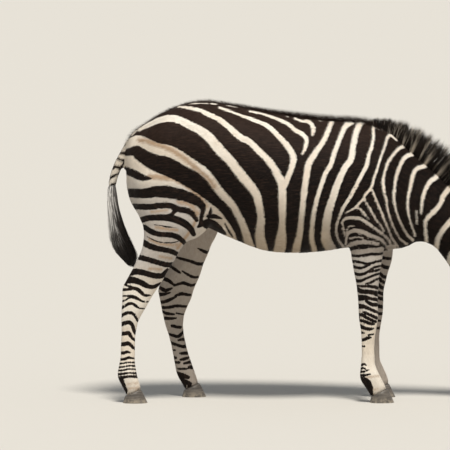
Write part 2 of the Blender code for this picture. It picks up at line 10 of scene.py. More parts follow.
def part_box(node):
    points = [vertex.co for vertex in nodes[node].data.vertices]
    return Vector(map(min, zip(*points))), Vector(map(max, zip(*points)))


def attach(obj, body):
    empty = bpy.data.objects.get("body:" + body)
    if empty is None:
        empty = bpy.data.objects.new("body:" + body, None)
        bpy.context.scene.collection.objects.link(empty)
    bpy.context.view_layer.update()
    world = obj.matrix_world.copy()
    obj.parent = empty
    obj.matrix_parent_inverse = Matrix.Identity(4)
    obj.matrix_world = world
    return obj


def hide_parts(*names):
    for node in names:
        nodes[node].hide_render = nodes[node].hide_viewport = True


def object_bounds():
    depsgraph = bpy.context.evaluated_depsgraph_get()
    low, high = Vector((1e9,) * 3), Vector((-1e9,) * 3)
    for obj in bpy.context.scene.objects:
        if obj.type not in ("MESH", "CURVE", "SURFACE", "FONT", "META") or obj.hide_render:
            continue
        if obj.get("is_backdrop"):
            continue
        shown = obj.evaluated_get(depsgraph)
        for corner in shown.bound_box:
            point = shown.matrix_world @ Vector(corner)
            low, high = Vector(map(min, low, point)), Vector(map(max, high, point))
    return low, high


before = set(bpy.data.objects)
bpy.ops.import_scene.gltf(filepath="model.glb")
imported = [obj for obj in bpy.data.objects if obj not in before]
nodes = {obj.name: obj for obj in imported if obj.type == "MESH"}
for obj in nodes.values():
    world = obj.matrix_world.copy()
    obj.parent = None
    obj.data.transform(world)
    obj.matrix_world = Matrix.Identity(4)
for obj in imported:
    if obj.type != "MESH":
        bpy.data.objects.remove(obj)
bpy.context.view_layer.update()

# ---------------------------------------------------------------- studio
# A seamless pale floor under a wide soft sky and one high, softened key light. The long lens
# looks square at the right side of the animal.

AIM = Vector((-0.418, 0.0, 0.7894))
CAMERA_HEIGHT_ANGLE = math.radians(4)
CAMERA_DISTANCE = 20.0
LENS, SENSOR = 355.6, 36.0
FLOOR_HALF = 260.0
FLOOR_COLOUR, FLOOR_ROUGHNESS = (0.60, 0.575, 0.53, 1), 0.9
SKY_COLOUR, SKY_STRENGTH = (0.90, 0.95, 1.0, 1), 0.34
KEY_COLOUR, KEY_ENERGY, KEY_SOFTNESS = (1.0, 0.965, 0.90), 3.7, math.radians(16)
KEY_TURN = (math.radians(24), math.radians(7), 0)

camera_data = bpy.data.cameras.new("studio_camera")
camera_data.lens, camera_data.sensor_width = LENS, SENSOR
camera_data.clip_end = 1000
camera = bpy.data.objects.new("studio_camera", camera_data)
back_and_up = Vector((0, -math.cos(CAMERA_HEIGHT_ANGLE), math.sin(CAMERA_HEIGHT_ANGLE)))
camera.location = AIM + CAMERA_DISTANCE * back_and_up
camera.rotation_euler = (math.pi / 2 - CAMERA_HEIGHT_ANGLE, 0, 0)
bpy.context.scene.collection.objects.link(camera)
bpy.context.scene.camera = camera
bpy.context.scene.view_settings.view_transform = "Standard"

sky = bpy.data.worlds.new("studio_sky")
sky.use_nodes = True
sky.node_tree.nodes["Background"].inputs["Color"].default_value = SKY_COLOUR
sky.node_tree.nodes["Background"].inputs["Strength"].default_value = SKY_STRENGTH
bpy.context.scene.world = sky

key_data = bpy.data.lights.new("key_light", "SUN")
key_data.energy = KEY_ENERGY
key_data.angle = KEY_SOFTNESS
key_data.color = KEY_COLOUR
key = bpy.data.objects.new("key_light", key_data)
key.rotation_euler = KEY_TURN
bpy.context.scene.collection.objects.link(key)

floor_form = bmesh.new()
bmesh.ops.create_grid(floor_form, x_segments=8, y_segments=8, size=FLOOR_HALF)
floor_mesh = bpy.data.meshes.new("studio_floor")
floor_form.to_mesh(floor_mesh)
floor_form.free()
studio_floor = bpy.data.objects.new("studio_floor", floor_mesh)
bpy.context.scene.collection.objects.link(studio_floor)
floor_paint = bpy.data.materials.new("floor_paint")
floor_paint.use_nodes = True
floor_shader = floor_paint.node_tree.nodes["Principled BSDF"]
floor_shader.inputs["Base Color"].default_value = FLOOR_COLOUR
floor_shader.inputs["Roughness"].default_value = FLOOR_ROUGHNESS
floor_mesh.materials.append(floor_paint)
studio_floor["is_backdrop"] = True

# ---------------------------------------------------------------- skin
# The hide, tanned and drawn over the form in one piece from the lips to the pasterns. It
# takes in every solid of flesh and lies under them by the depth of the coat, with the
# lids, nostrils, lips and the hollows between the tendons worked into it.

FLESH_KINDS = ("trunk", "neck", "head", "muzzle", "ear", "leg")
FLESH = sorted(n for n in nodes if n.split("_")[0] in FLESH_KINDS) + ["tail_dock"]
LAP = 0.0015  # each solid is let out by this, so that neighbours run together
SKIN_MESH = 0.0046
SKIN_POINTS_KEPT = 64000
REGIONS = ("trunk", "neck", "head", "ear", "leg", "tail")
REGION_OF = {"muzzle": "head"}
# how much each region is smoothed, how finely it is meshed (less is finer), and its coat's depth
SOFTNESS = {"trunk": 1.0, "neck": 1.0, "head": 0.28, "ear": 0.02, "leg": 0.42, "tail": 0.4}
COARSENESS = {"trunk": 0.60, "neck": 0.45, "head": 0.05, "ear": 0.05, "leg": 0.25, "tail": 0.25}
COAT_DEPTH = {"trunk": 0.0045, "neck": 0.0045, "head": 0.0022, "ear": 0.0008, "leg": 0.0016, "tail": 0.003}

HEAD_TOP = Vector((0.8128, 0, 0.655))  # the poll
FACE_SLOPE = math.radians(74)
DOWN_FACE = np.array((math.cos(FACE_SLOPE), 0, -math.sin(FACE_SLOPE)))
OFF_FACE = np.array((math.sin(FACE_SLOPE), 0, math.cos(FACE_SLOPE)))
EYE_RADIUS = 0.0215


def gathered(names, lap):
    """One mesh of several solids, each welded and let out a little."""
    form = bmesh.new()
    for name in names:
        part = bmesh.new()
        part.from_mesh(nodes[name].data)
        bmesh.ops.remove_doubles(part, verts=part.verts, dist=1e-5)
        part.normal_update()
        moves = [v.normal * lap for v in part.verts]
        for v, move in zip(part.verts, moves):
            v.co += move
        mesh = bpy.data.meshes.new(name + "_part")
        part.to_mesh(mesh)
        part.free()
        form.from_mesh(mesh)
        bpy.data.meshes.remove(mesh)
    mesh = bpy.data.meshes.new("gathered")
    form.to_mesh(mesh)
    form.free()
    return mesh


def piece(name, mesh):
    made = bpy.data.objects.new(name, mesh)
    bpy.context.scene.collection.objects.link(made)
    return made


def settled(made):
    """Applies an object's modifiers to its mesh."""
    mesh = bpy.data.meshes.new_from_object(made.evaluated_get(bpy.context.evaluated_depsgraph_get()))
    made.modifiers.clear()
    made.data = mesh
    return made


def remeshed(made, size):
    remesh = made.modifiers.new("remesh", "REMESH")
    remesh.mode = "VOXEL"
    remesh.voxel_size = size
    return settled(made)


def places(mesh):
    found = np.empty(len(mesh.vertices) * 3)
    mesh.vertices.foreach_get("co", found)
    return found.reshape(-1, 3)


def outwards(mesh):
    found = np.empty(len(mesh.vertices) * 3, dtype=np.float32)
    mesh.vertex_normals.foreach_get("vector", found)
    return found.reshape(-1, 3).astype(float)


def edges_of(mesh):
    found = np.empty(len(mesh.edges) * 2, dtype=np.int32)
    mesh.edges.foreach_get("vertices", found)
    return found.reshape(-1, 2)


def put(mesh, where):
    mesh.vertices.foreach_set("co", np.ascontiguousarray(where, dtype=np.float32).ravel())
    mesh.update()


def spread(values, edges, rounds, share=0.5):
    """Lets the values at joined points run into one another; share may differ from point to point."""
    count = np.maximum(np.bincount(edges.ravel(), minlength=len(values)), 1)
    flat = values.reshape(len(values), -1).copy()
    share = np.asarray(share)
    for _ in range(rounds):
        for column in range(flat.shape[1]):
            given = flat[:, column]
            total = np.bincount(edges[:, 0], given[edges[:, 1]], len(given))
            total += np.bincount(edges[:, 1], given[edges[:, 0]], len(given))
            flat[:, column] = given + share * (total / count - given)
    return flat.reshape(values.shape)


def smoothstep(low, high, value):
    t = np.clip((value - low) / (high - low), 0, 1)
    return t * t * (3 - 2 * t)


def flesh_finder():
    corners, faces, owner = [], [], []
    for index, name in enumerate(FLESH):
        mesh = nodes[name].data
        start = len(corners)
        corners += [tuple(v.co) for v in mesh.vertices]
        faces += [tuple(start + i for i in p.vertices) for p in mesh.polygons]
        owner += [index] * len(mesh.polygons)
    return BVHTree.FromPolygons(corners, faces), np.array(owner)


finder, face_owner = flesh_finder()


def owners(points):
    """The solid of flesh nearest to each point."""
    return face_owner[[finder.find_nearest(p)[2] for p in points.tolist()]]


def region_weights(owner, edges, rounds):
    """A smooth share of each region at each point."""
    weight = np.zeros((len(owner), len(REGIONS)))
    for index, name in enumerate(FLESH):
        word = name.split("_")[0]
        weight[owner == index, REGIONS.index(REGION_OF.get(word, word))] = 1
    return spread(weight, edges, rounds)


def mixed(weight, amounts):
    return weight @ np.array([amounts[r] for r in REGIONS])


def on_head(points):
    """Down the face from the poll, off its line, and out to the side."""
    away = points - np.array(HEAD_TOP)
    return away @ DOWN_FACE, away @ OFF_FACE, np.abs(points[:, 1])


skin = remeshed(piece("skin", gathered(FLESH + ["eye_left", "eye_right"], LAP)), SKIN_MESH)
points, edges = places(skin.data), edges_of(skin.data)
weight = region_weights(owners(points), edges, 14)
points = spread(points, edges, 46, 0.6 * mixed(weight, SOFTNESS))
put(skin.data, points)

coarse = skin.vertex_groups.new(name="coarse")
coarseness = mixed(weight, COARSENESS)
for level in range(1, 21):
    chosen = np.flatnonzero(np.round(coarseness * 20) == level)
    coarse.add(chosen.tolist(), level / 20, "REPLACE")
thinning = skin.modifiers.new("thinning", "DECIMATE")
thinning.ratio = SKIN_POINTS_KEPT / len(points)
thinning.vertex_group = "coarse"
thinning.vertex_group_factor = 0.05
settled(skin)


def refined(mesh, cut):
    """Cuts the chosen edges in half, where the small folds of the face and the thin lines go."""
    form = bmesh.new()
    form.from_mesh(mesh)
    form.edges.ensure_lookup_table()
    picked = [form.edges[i] for i in np.flatnonzero(cut)]
    bmesh.ops.subdivide_edges(form, edges=picked, cuts=1, use_grid_fill=True)
    bmesh.ops.triangulate(form, faces=[f for f in form.faces if len(f.verts) > 4])
    form.to_mesh(mesh)
    form.free()


EYE = (0.172, -0.008, 0.070)  # down the face, off it, and out to the side
NOSTRIL = (0.494, -0.030, 0.043)
MOUTH = ((0.538, -0.058), (0.524, -0.067), (0.500, -0.073), (0.470, -0.078), (0.442, -0.080))


def from_place(points, place):
    down, off, out = on_head(points)
    return np.stack((down - place[0], off - place[1], out - place[2]), axis=1)


def mouth_gap(points):
    """Distance from the line between the lips, and which side of it: above is positive."""
    down, off, out = on_head(points)
    gap, side = np.full(len(points), 1.0), np.zeros(len(points))
    for (d0, o0), (d1, o1) in zip(MOUTH, MOUTH[1:]):
        run, rise = d1 - d0, o1 - o0
        along = np.clip(((down - d0) * run + (off - o0) * rise) / (run ** 2 + rise ** 2), 0, 1)
        far = np.hypot(down - d0 - along * run, off - o0 - along * rise)
        closer = far < gap
        gap = np.where(closer, far, gap)
        side = np.where(closer, off - o0 - along * rise, side)
    return gap, side


for reach in (0.044, 0.031):
    points = places(skin.data)
    near_eye = np.linalg.norm(from_place(points, EYE), axis=1) < reach
    near_nostril = np.linalg.norm(from_place(points, NOSTRIL), axis=1) < reach * 0.8
    near_mouth = (mouth_gap(points)[0] < reach * 0.36) & (on_head(points)[0] > 0.42)
    refined(skin.data, (near_eye | near_nostril | near_mouth)[edges_of(skin.data)].all(axis=1))

points, edges, normals = places(skin.data), edges_of(skin.data), outwards(skin.data)
weight = region_weights(owners(points), edges, 8)
points -= normals * (LAP + mixed(weight, COAT_DEPTH))[:, None]
head_share = weight[:, REGIONS.index("head")]

# The face: lids round the ball, nostrils, lips, cheek crest, the hollow over the eye and the hollows along
# the muzzle's sides.
down, off, out = on_head(points)
EYE_AXIS = np.array((-0.06, 0.26, 0.96))  # along the face, off it, out
EYE_AXIS /= np.linalg.norm(EYE_AXIS)
FISSURE_LEAN = math.radians(16)
fissure = np.array((math.cos(FISSURE_LEAN), -math.sin(FISSURE_LEAN), 0))
fissure -= EYE_AXIS * (fissure @ EYE_AXIS)
fissure /= np.linalg.norm(fissure)
brow = np.cross(fissure, EYE_AXIS)
brow *= np.sign(brow[1])
FISSURE_HALF, UPPER_LID, LOWER_LID, LID_THICK = 0.90, 0.60, 0.46, 0.0024


def lid_gap(points):
    """How far inside the opening of the lids a point is, and its distance from the ball's middle."""
    away = from_place(points, EYE)
    far = np.maximum(np.linalg.norm(away, axis=1), 1e-6)
    across, over = away @ fissure / far, away @ brow / far
    bow = np.clip(1 - (across / FISSURE_HALF) ** 2, 0, 1)
    gap = np.minimum(UPPER_LID * bow ** 0.7 - over, over + LOWER_LID * bow ** 0.85) * EYE_RADIUS
    beyond = -(np.abs(across) - FISSURE_HALF) * EYE_RADIUS - np.abs(over) * 0.01
    gap = np.where(np.abs(across) < FISSURE_HALF, gap, beyond)
    gap = np.where(away @ EYE_AXIS > 0, gap, -0.05)
    return gap, far, over * EYE_RADIUS, across * EYE_RADIUS


gap, far, over, across = lid_gap(points)
near = (far < 0.048) & (head_share > 0.5)
opening = smoothstep(-0.0004, 0.0010, gap)
lid_height = EYE_RADIUS + LID_THICK * smoothstep(-0.013, -0.002, gap) * np.where(over > 0, 1.25, 0.9)
rim = smoothstep(-0.015, -0.004, gap) * (1 - opening)
rim = rim * smoothstep(EYE_RADIUS + 0.015, EYE_RADIUS + 0.005, far)
pulled = far + rim * (np.maximum(lid_height, EYE_RADIUS + 0.0006) - far)
pulled = np.maximum(pulled, EYE_RADIUS + 0.0012 + 0.004 * smoothstep(-0.004, -0.016, gap))
pulled += opening * (EYE_RADIUS - 0.006 - pulled)
crease = np.exp(-((gap + 0.0085) / 0.0016) ** 2) * (over > 0.002) * smoothstep(0.020, 0.008, np.abs(across))
pulled -= 0.0016 * crease
fold_below = np.exp(-((gap + 0.0075) / 0.0016) ** 2) * (over < -0.003)
fold_below = fold_below * smoothstep(0.018, 0.006, np.abs(across))
pulled -= 0.0009 * fold_below
middle = np.array(HEAD_TOP) + EYE[0] * DOWN_FACE + EYE[1] * OFF_FACE
middles = np.tile(middle, (len(points), 1))
middles[:, 1] = EYE[2] * np.sign(points[:, 1])
ray = (points - middles) / far[:, None]
points = np.where(near[:, None], middles + ray * pulled[:, None], points)

away = from_place(points, NOSTRIL)
slit = np.array((0.42, -0.90, 0.10))
slit /= np.linalg.norm(slit)
along_slit = away @ slit
bend = 0.006 * (along_slit / 0.02) ** 2  # the slit is comma shaped
face_on = np.array((0.35, 0.40, 0.85)) / np.linalg.norm((0.35, 0.40, 0.85))
across_slit = away @ np.cross(slit, face_on) - bend
wide = 0.0078 * (1 - 0.35 * np.clip(along_slit / 0.02, -1, 1))
hole = np.hypot(along_slit / 0.0195, across_slit / wide)
near = (np.linalg.norm(away, axis=1) < 0.045) & (out > 0.012)
inwards = -normals.copy()
points += inwards * (near * 0.017 * smoothstep(1.0, 0.35, hole))[:, None]
points += normals * (near * 0.0026 * np.exp(-((hole - 1.28) / 0.24) ** 2))[:, None]

gap, side = mouth_gap(points)
at_mouth = smoothstep(0.425, 0.445, down) * (head_share > 0.5)
points -= normals * (at_mouth * 0.0045 * np.exp(-(gap / 0.0026) ** 2))[:, None]
lips = at_mouth * 0.0016 * np.exp(-((gap - 0.007) / 0.004) ** 2) * np.where(side > 0, 1, 0.7)
points += normals * lips[:, None]

hollow = np.exp(-(((down - 0.118) / 0.020) ** 2 + ((off - 0.022) / 0.014) ** 2)) * (out > 0.03)
crest = np.exp(-((off + 0.050 + 0.10 * (down - 0.24)) / 0.010) ** 2)
crest = crest * smoothstep(0.17, 0.20, down) * smoothstep(0.34, 0.28, down)
bars = np.exp(-((off + 0.012) / 0.012) ** 2) * smoothstep(0.30, 0.34, down) * smoothstep(0.46, 0.40, down)
points += normals * (head_share * (0.0028 * crest * (out > 0.03) - 0.0035 * hollow - 0.0022 * bars))[:, None]

# The legs: the furrow between the cannon bone and its tendons.
LEGS = [n[4:-6] for n in FLESH if n.endswith("_upper")]
owner = owners(points)
leg_lines = {}
for leg in LEGS:
    mine = np.isin(owner, [FLESH.index("leg_%s_%s" % (leg, part)) for part in ("upper", "cannon", "pastern")])
    levels = np.arange(0.04, 0.92, 0.03)
    rows = []
    for level in levels:
        slab = mine & (np.abs(points[:, 2] - level) < 0.02)
        if slab.sum() > 12:
            here = points[slab]
            least, most = here.min(axis=0), here.max(axis=0)
            rows.append((level, (least[0] + most[0]) / 2, (least[1] + most[1]) / 2, (most[0] - least[0]) / 2))
    leg_lines[leg] = np.array(rows)


def leg_frame(points, leg):
    """Forward of the leg's middle, out from it, and its half depth, at each point's height."""
    line = leg_lines[leg]
    z = points[:, 2]
    forward = points[:, 0] - np.interp(z, line[:, 0], line[:, 1])
    outward = points[:, 1] - np.interp(z, line[:, 0], line[:, 2])
    return forward, outward, np.interp(z, line[:, 0], line[:, 3])


z = points[:, 2]
for leg in LEGS:
    mine = np.isin(owner, [FLESH.index("leg_%s_%s" % (leg, part)) for part in ("upper", "cannon", "pastern")])
    forward, outward, half = leg_frame(points, leg)
    share = forward / half
    top, bottom = (0.36, 0.15) if leg.startswith("hind") else (0.31, 0.14)
    level = smoothstep(bottom, bottom + 0.03, z) * smoothstep(top, top - 0.03, z)
    furrow = np.exp(-((share + 0.18) / 0.20) ** 2) * level
    points -= normals * (mine * 0.0030 * furrow)[:, None]

edges_fine = edges_of(skin.data)
softening = 0.35 * (1 - head_share) + 0.10 * head_share
points = spread(points, edges_fine, 2, softening)
put(skin.data, points)
skin.data.polygons.foreach_set("use_smooth", np.ones(len(skin.data.polygons), dtype=bool))
skin.data.update()

# ---------------------------------------------------------------- markings
# Burchell's pattern, dyed into the hide before the coat is laid: each stripe is a curve over
# the side of the body through places (forward, up, width) in millimetres, white on the black
# body, then black on the white haunch and legs. The left side carries the same, a little moved.

FADE = 0.03  # how far from its edge a stripe is still felt
SIDE_VIEW_RISE, SIDE_VIEW_DROP = 0.9976, 0.0698  # height as it shows from a little above

BODY_STRIPES = [  # from the rump forwards to the shoulder
    [(-801, 1215, 14), (-756, 1238, 22), (-711, 1256, 27), (-666, 1264, 32), (-621, 1256, 32),
     (-576, 1233, 34), (-531, 1210, 36), (-495, 1184, 40), (-463, 1148, 43), (-432, 1112, 43),
     (-396, 1076, 40), (-360, 1030, 40), (-328, 990, 40), (-297, 954, 38), (-274, 914, 34),
     (-261, 855, 32), (-256, 810, 32), (-261, 742, 40), (-243, 648, 54)],
    [(-855, 1152, 40), (-810, 1166, 45), (-778, 1156, 47), (-747, 1138, 50), (-711, 1125, 50),
     (-666, 1116, 50), (-621, 1094, 47), (-585, 1071, 45), (-553, 1053, 40), (-517, 1030, 38),
     (-486, 999, 36), (-459, 963, 36), (-432, 927, 34), (-400, 896, 32), (-373, 860, 29),
     (-351, 819, 29), (-328, 765, 32), (-301, 675, 40)],
    [(-621, 1318, 7), (-576, 1310, 14), (-531, 1300, 16), (-486, 1278, 20), (-441, 1256, 22),
     (-396, 1220, 25), (-351, 1179, 27), (-306, 1156, 27), (-270, 1120, 27), (-238, 1089, 27),
     (-207, 1053, 29), (-184, 1012, 32), (-166, 972, 34), (-162, 900, 34), (-162, 788, 29),
     (-166, 729, 45), (-175, 648, 54)],
    [(-441, 1312, 9), (-373, 1287, 11), (-306, 1262, 14), (-252, 1242, 18), (-216, 1220, 20),
     (-180, 1184, 22), (-139, 1138, 25), (-112, 1089, 27), (-121, 1044, 25), (-153, 958, 22)],
    [(-306, 1296, 9), (-261, 1287, 9), (-216, 1274, 11), (-171, 1256, 14), (-135, 1238, 16),
     (-103, 1210, 18), (-72, 1192, 18), (-54, 1170, 18), (-58, 1138, 16), (-72, 1102, 9)],
    [(-103, 1264, 9), (-72, 1251, 11), (-45, 1251, 16), (-27, 1233, 18), (-22, 1210, 18),
     (-27, 1188, 9)],
    [(63, 1251, 18), (41, 1202, 21), (23, 1161, 22), (0, 1130, 22), (-22, 1098, 26), (-45, 1058, 28),
     (-54, 1012, 27), (-67, 922, 25), (-76, 832, 23), (-85, 742, 27), (-94, 706, 32), (-99, 657, 36)],
    [(153, 1256, 32), (122, 1228, 22), (104, 1192, 20), (86, 1148, 20), (68, 1102, 20), (54, 1058, 20),
     (32, 1022, 19), (14, 976, 18), (0, 932, 18), (-13, 886, 18), (-22, 842, 19), (-31, 756, 20),
     (-27, 711, 22), (-9, 657, 22)],
    [(239, 1251, 18), (198, 1251, 22), (176, 1215, 25), (162, 1170, 25), (153, 1125, 25),
     (144, 1080, 27), (117, 1044, 27), (95, 999, 28), (77, 954, 31), (59, 900, 32), (45, 855, 34),
     (36, 810, 36), (32, 765, 38), (36, 720, 43), (68, 666, 45)],
]
BACK_TICKS = [  # the broken pale line beside the dark one along the spine
    [(-832, 1192, 6), (-801, 1228, 6), (-756, 1262, 6), (-711, 1287, 6), (-666, 1310, 6),
     (-621, 1318, 6)],
    [(-576, 1332, 5), (-495, 1330, 5)],
    [(-477, 1330, 5), (-454, 1328, 5)],
    [(-405, 1323, 5), (-360, 1316, 5)],
    [(-306, 1312, 6), (-252, 1303, 6)],
    [(-207, 1300, 6), (-162, 1292, 6), (-135, 1274, 6)],
    [(-103, 1282, 6), (-67, 1274, 6)],
    [(-54, 1274, 6), (-9, 1264, 6)],
    [(9, 1256, 5), (32, 1260, 5)],
    [(59, 1260, 5), (144, 1256, 5)],
]
SHOULDER_STRIPES = [
    [(288, 1220, 18), (252, 1228, 17), (248, 1184, 14), (239, 1138, 14), (225, 1102, 15),
     (216, 1058, 17), (198, 1022, 17), (176, 981, 16), (153, 940, 16), (140, 914, 17), (122, 886, 16),
     (108, 864, 14)],
    [(108, 864, 14), (90, 819, 11), (81, 792, 11), (79, 756, 11), (90, 720, 11), (117, 684, 11)],
    [(356, 1170, 14), (320, 1188, 12), (293, 1120, 11), (275, 1080, 10), (261, 1035, 10),
     (248, 999, 11), (234, 954, 12), (207, 922, 11), (198, 904, 11), (180, 886, 10), (167, 868, 10),
     (144, 855, 7), (122, 842, 4)],
    [(239, 945, 9), (252, 909, 9), (266, 878, 9), (279, 846, 10), (297, 801, 10), (315, 760, 9),
     (329, 729, 9), (347, 706, 9), (360, 688, 8)],
    [(203, 900, 7), (221, 873, 9), (239, 842, 9), (257, 810, 8), (275, 788, 7), (293, 760, 4)],
    [(171, 864, 7), (189, 855, 9), (207, 832, 9), (225, 814, 4)],
    [(396, 1143, 14), (365, 1130, 14), (338, 1102, 13), (315, 1071, 13), (297, 1026, 12),
     (288, 981, 12), (293, 936, 11), (302, 900, 10), (306, 868, 9), (315, 832, 9), (329, 792, 9),
     (347, 756, 9), (369, 724, 10), (401, 702, 11)],
]
NECK_STRIPES = [
    [(432, 1107, 18), (396, 1094, 18), (378, 1071, 17), (360, 1035, 16), (347, 990, 14), (338, 922, 13),
     (342, 878, 11), (351, 842, 10), (365, 806, 10), (383, 770, 10), (405, 738, 11), (428, 720, 12)],
    [(486, 1053, 18), (446, 1040, 18), (428, 1012, 18), (414, 958, 16), (405, 922, 14), (401, 878, 12),
     (405, 832, 10), (419, 788, 9), (437, 738, 9)],
    [(603, 1062, 25), (536, 1004, 22), (509, 986, 20), (491, 963, 18), (477, 932, 16), (468, 900, 14),
     (464, 864, 11), (462, 837, 7)],
    [(441, 850, 7), (444, 792, 7)],
    [(640, 930, 25), (617, 972, 25), (567, 922, 22), (554, 891, 20), (536, 864, 20), (509, 837, 20),
     (486, 810, 18), (482, 778, 16), (491, 711, 14)],
    [(700, 880, 27), (655, 850, 26), (617, 824, 25), (576, 783, 22), (554, 752, 22), (540, 720, 22),
     (528, 640, 22)],
    [(748, 806, 27), (704, 776, 25), (664, 738, 24), (628, 697, 22), (600, 655, 20), (585, 600, 18)],
    [(700, 810, 6), (668, 786, 9), (636, 757, 9), (606, 722, 6)],
    [(790, 738, 24), (748, 706, 22), (708, 668, 20), (672, 628, 19), (646, 588, 17), (632, 545, 16)],
    [(812, 684, 18), (778, 650, 18), (742, 612, 17), (708, 570, 16), (684, 530, 15)],
]
ELBOW_STRIPES = [
    [(117, 738, 5), (113, 760, 7), (107, 788, 8), (106, 804, 10), (122, 818, 12), (153, 820, 14),
     (189, 814, 14), (221, 794, 13), (257, 768, 12), (288, 745, 11), (315, 720, 10), (329, 688, 9)],
    [(126, 747, 6), (127, 767, 6), (138, 783, 6), (158, 783, 6)],
    [(122, 702, 8), (125, 734, 9), (138, 754, 14), (162, 763, 18), (198, 756, 18), (234, 740, 17),
     (270, 727, 14), (293, 709, 12), (306, 680, 10)],
    [(140, 727, 7), (171, 734, 8), (198, 729, 5)],
    [(131, 688, 14), (153, 704, 18), (189, 711, 18), (234, 709, 16), (284, 698, 14)],
]
HAUNCH_EDGE = [(-864, 1114, 34), (-823, 1114, 34), (-801, 1102, 49), (-756, 1078, 65), (-711, 1058, 75),
               (-666, 1040, 75), (-621, 1019, 75), (-576, 994, 75), (-531, 963, 69),
               (-495, 932, 60), (-463, 900, 49), (-432, 873, 44), (-400, 832, 40), (-378, 792, 32),
               (-360, 752, 26), (-342, 693, 24)]
HAUNCH_STRIPES = [  # black on white
    [(-864, 1035, 34), (-828, 1019, 35), (-801, 1006, 34), (-774, 997, 26), (-742, 994, 7)],
    [(-850, 932, 40), (-778, 929, 44), (-733, 936, 49), (-688, 936, 54), (-643, 929, 54),
     (-598, 918, 49), (-553, 900, 44), (-522, 878, 34), (-515, 855, 24), (-522, 824, 19),
     (-526, 792, 19)],
    [(-828, 871, 26), (-756, 868, 27), (-711, 873, 27), (-666, 875, 28), (-630, 860, 28),
     (-594, 853, 28), (-567, 842, 26), (-544, 810, 19)],
    [(-828, 806, 28), (-792, 810, 28), (-756, 819, 28), (-711, 821, 28), (-666, 819, 32),
     (-630, 810, 34), (-594, 792, 32), (-571, 770, 28), (-558, 747, 22)],
    [(-675, 814, 19), (-639, 850, 19)],
    [(-819, 783, 19), (-778, 778, 22), (-756, 763, 24), (-724, 749, 24), (-688, 745, 24),
     (-652, 742, 24), (-621, 729, 24), (-594, 702, 19)],
    [(-765, 735, 4), (-738, 722, 6), (-711, 712, 6), (-679, 708, 6), (-652, 709, 6), (-625, 715, 4)],
    [(-733, 789, 4), (-706, 785, 6), (-679, 780, 6), (-634, 776, 4)],
    [(-828, 720, 28), (-787, 711, 28), (-756, 695, 28), (-724, 684, 26), (-688, 677, 24),
     (-657, 670, 24), (-621, 652, 19)],
    [(-846, 652, 24), (-801, 644, 24), (-756, 632, 24), (-711, 619, 24), (-675, 610, 24),
     (-630, 612, 19)],
    [(-864, 567, 28), (-832, 576, 28), (-814, 580, 28), (-778, 574, 27), (-733, 562, 26),
     (-697, 562, 24), (-675, 587, 16)],
]
HIND_RINGS = [
    [(-895, 526, 28), (-868, 536, 31), (-843, 543, 32), (-807, 536, 28), (-783, 525, 27),
     (-759, 513, 21), (-735, 512, 18), (-706, 526, 13)],
    [(-895, 528, 8), (-877, 524, 8), (-859, 518, 10), (-841, 512, 12), (-825, 506, 16), (-807, 500, 18),
     (-792, 486, 18), (-777, 474, 14), (-751, 473, 8)],
    [(-900, 496, 13), (-873, 498, 14), (-850, 500, 14), (-825, 503, 13)],
    [(-900, 467, 8), (-873, 470, 8), (-850, 471, 10), (-828, 467, 16), (-807, 458, 14), (-792, 449, 10),
     (-774, 444, 8), (-756, 446, 6)],
    [(-900, 439, 9), (-877, 446, 9), (-861, 453, 8), (-848, 461, 8), (-832, 467, 8)],
    [(-900, 407, 12), (-879, 417, 13), (-861, 428, 13), (-846, 436, 15), (-831, 436, 14),
     (-817, 427, 13), (-803, 417, 9), (-778, 413, 6)],
    [(-900, 369, 13), (-882, 380, 14), (-867, 390, 15), (-852, 395, 15), (-837, 395, 15),
     (-824, 386, 14), (-815, 372, 12), (-807, 356, 8)],
    [(-895, 338, 19), (-873, 346, 19), (-846, 353, 18), (-832, 338, 17), (-823, 310, 16),
     (-814, 297, 12)],
    [(-895, 297, 17), (-868, 302, 19), (-850, 305, 19), (-842, 294, 16), (-831, 279, 13),
     (-816, 269, 10)],
    [(-900, 252, 17), (-868, 255, 19), (-853, 259, 19), (-842, 252, 16), (-828, 238, 14),
     (-812, 230, 12)],
    [(-900, 214, 13), (-870, 215, 15), (-856, 220, 13), (-841, 216, 8)],
    [(-900, 186, 12), (-870, 187, 13), (-850, 194, 12), (-837, 192, 10), (-814, 189, 9)],
    [(-904, 165, 9), (-873, 169, 9), (-846, 173, 8), (-810, 171, 9)],
    [(-904, 149, 9), (-873, 153, 9), (-846, 158, 8), (-810, 155, 9)],
    [(-904, 135, 9), (-873, 138, 9), (-846, 143, 8), (-810, 140, 9)],
    [(-904, 118, 12), (-873, 122, 12), (-846, 126, 9), (-810, 123, 12)],
    [(-904, 102, 14), (-873, 106, 14), (-846, 110, 12), (-810, 108, 14)],
]
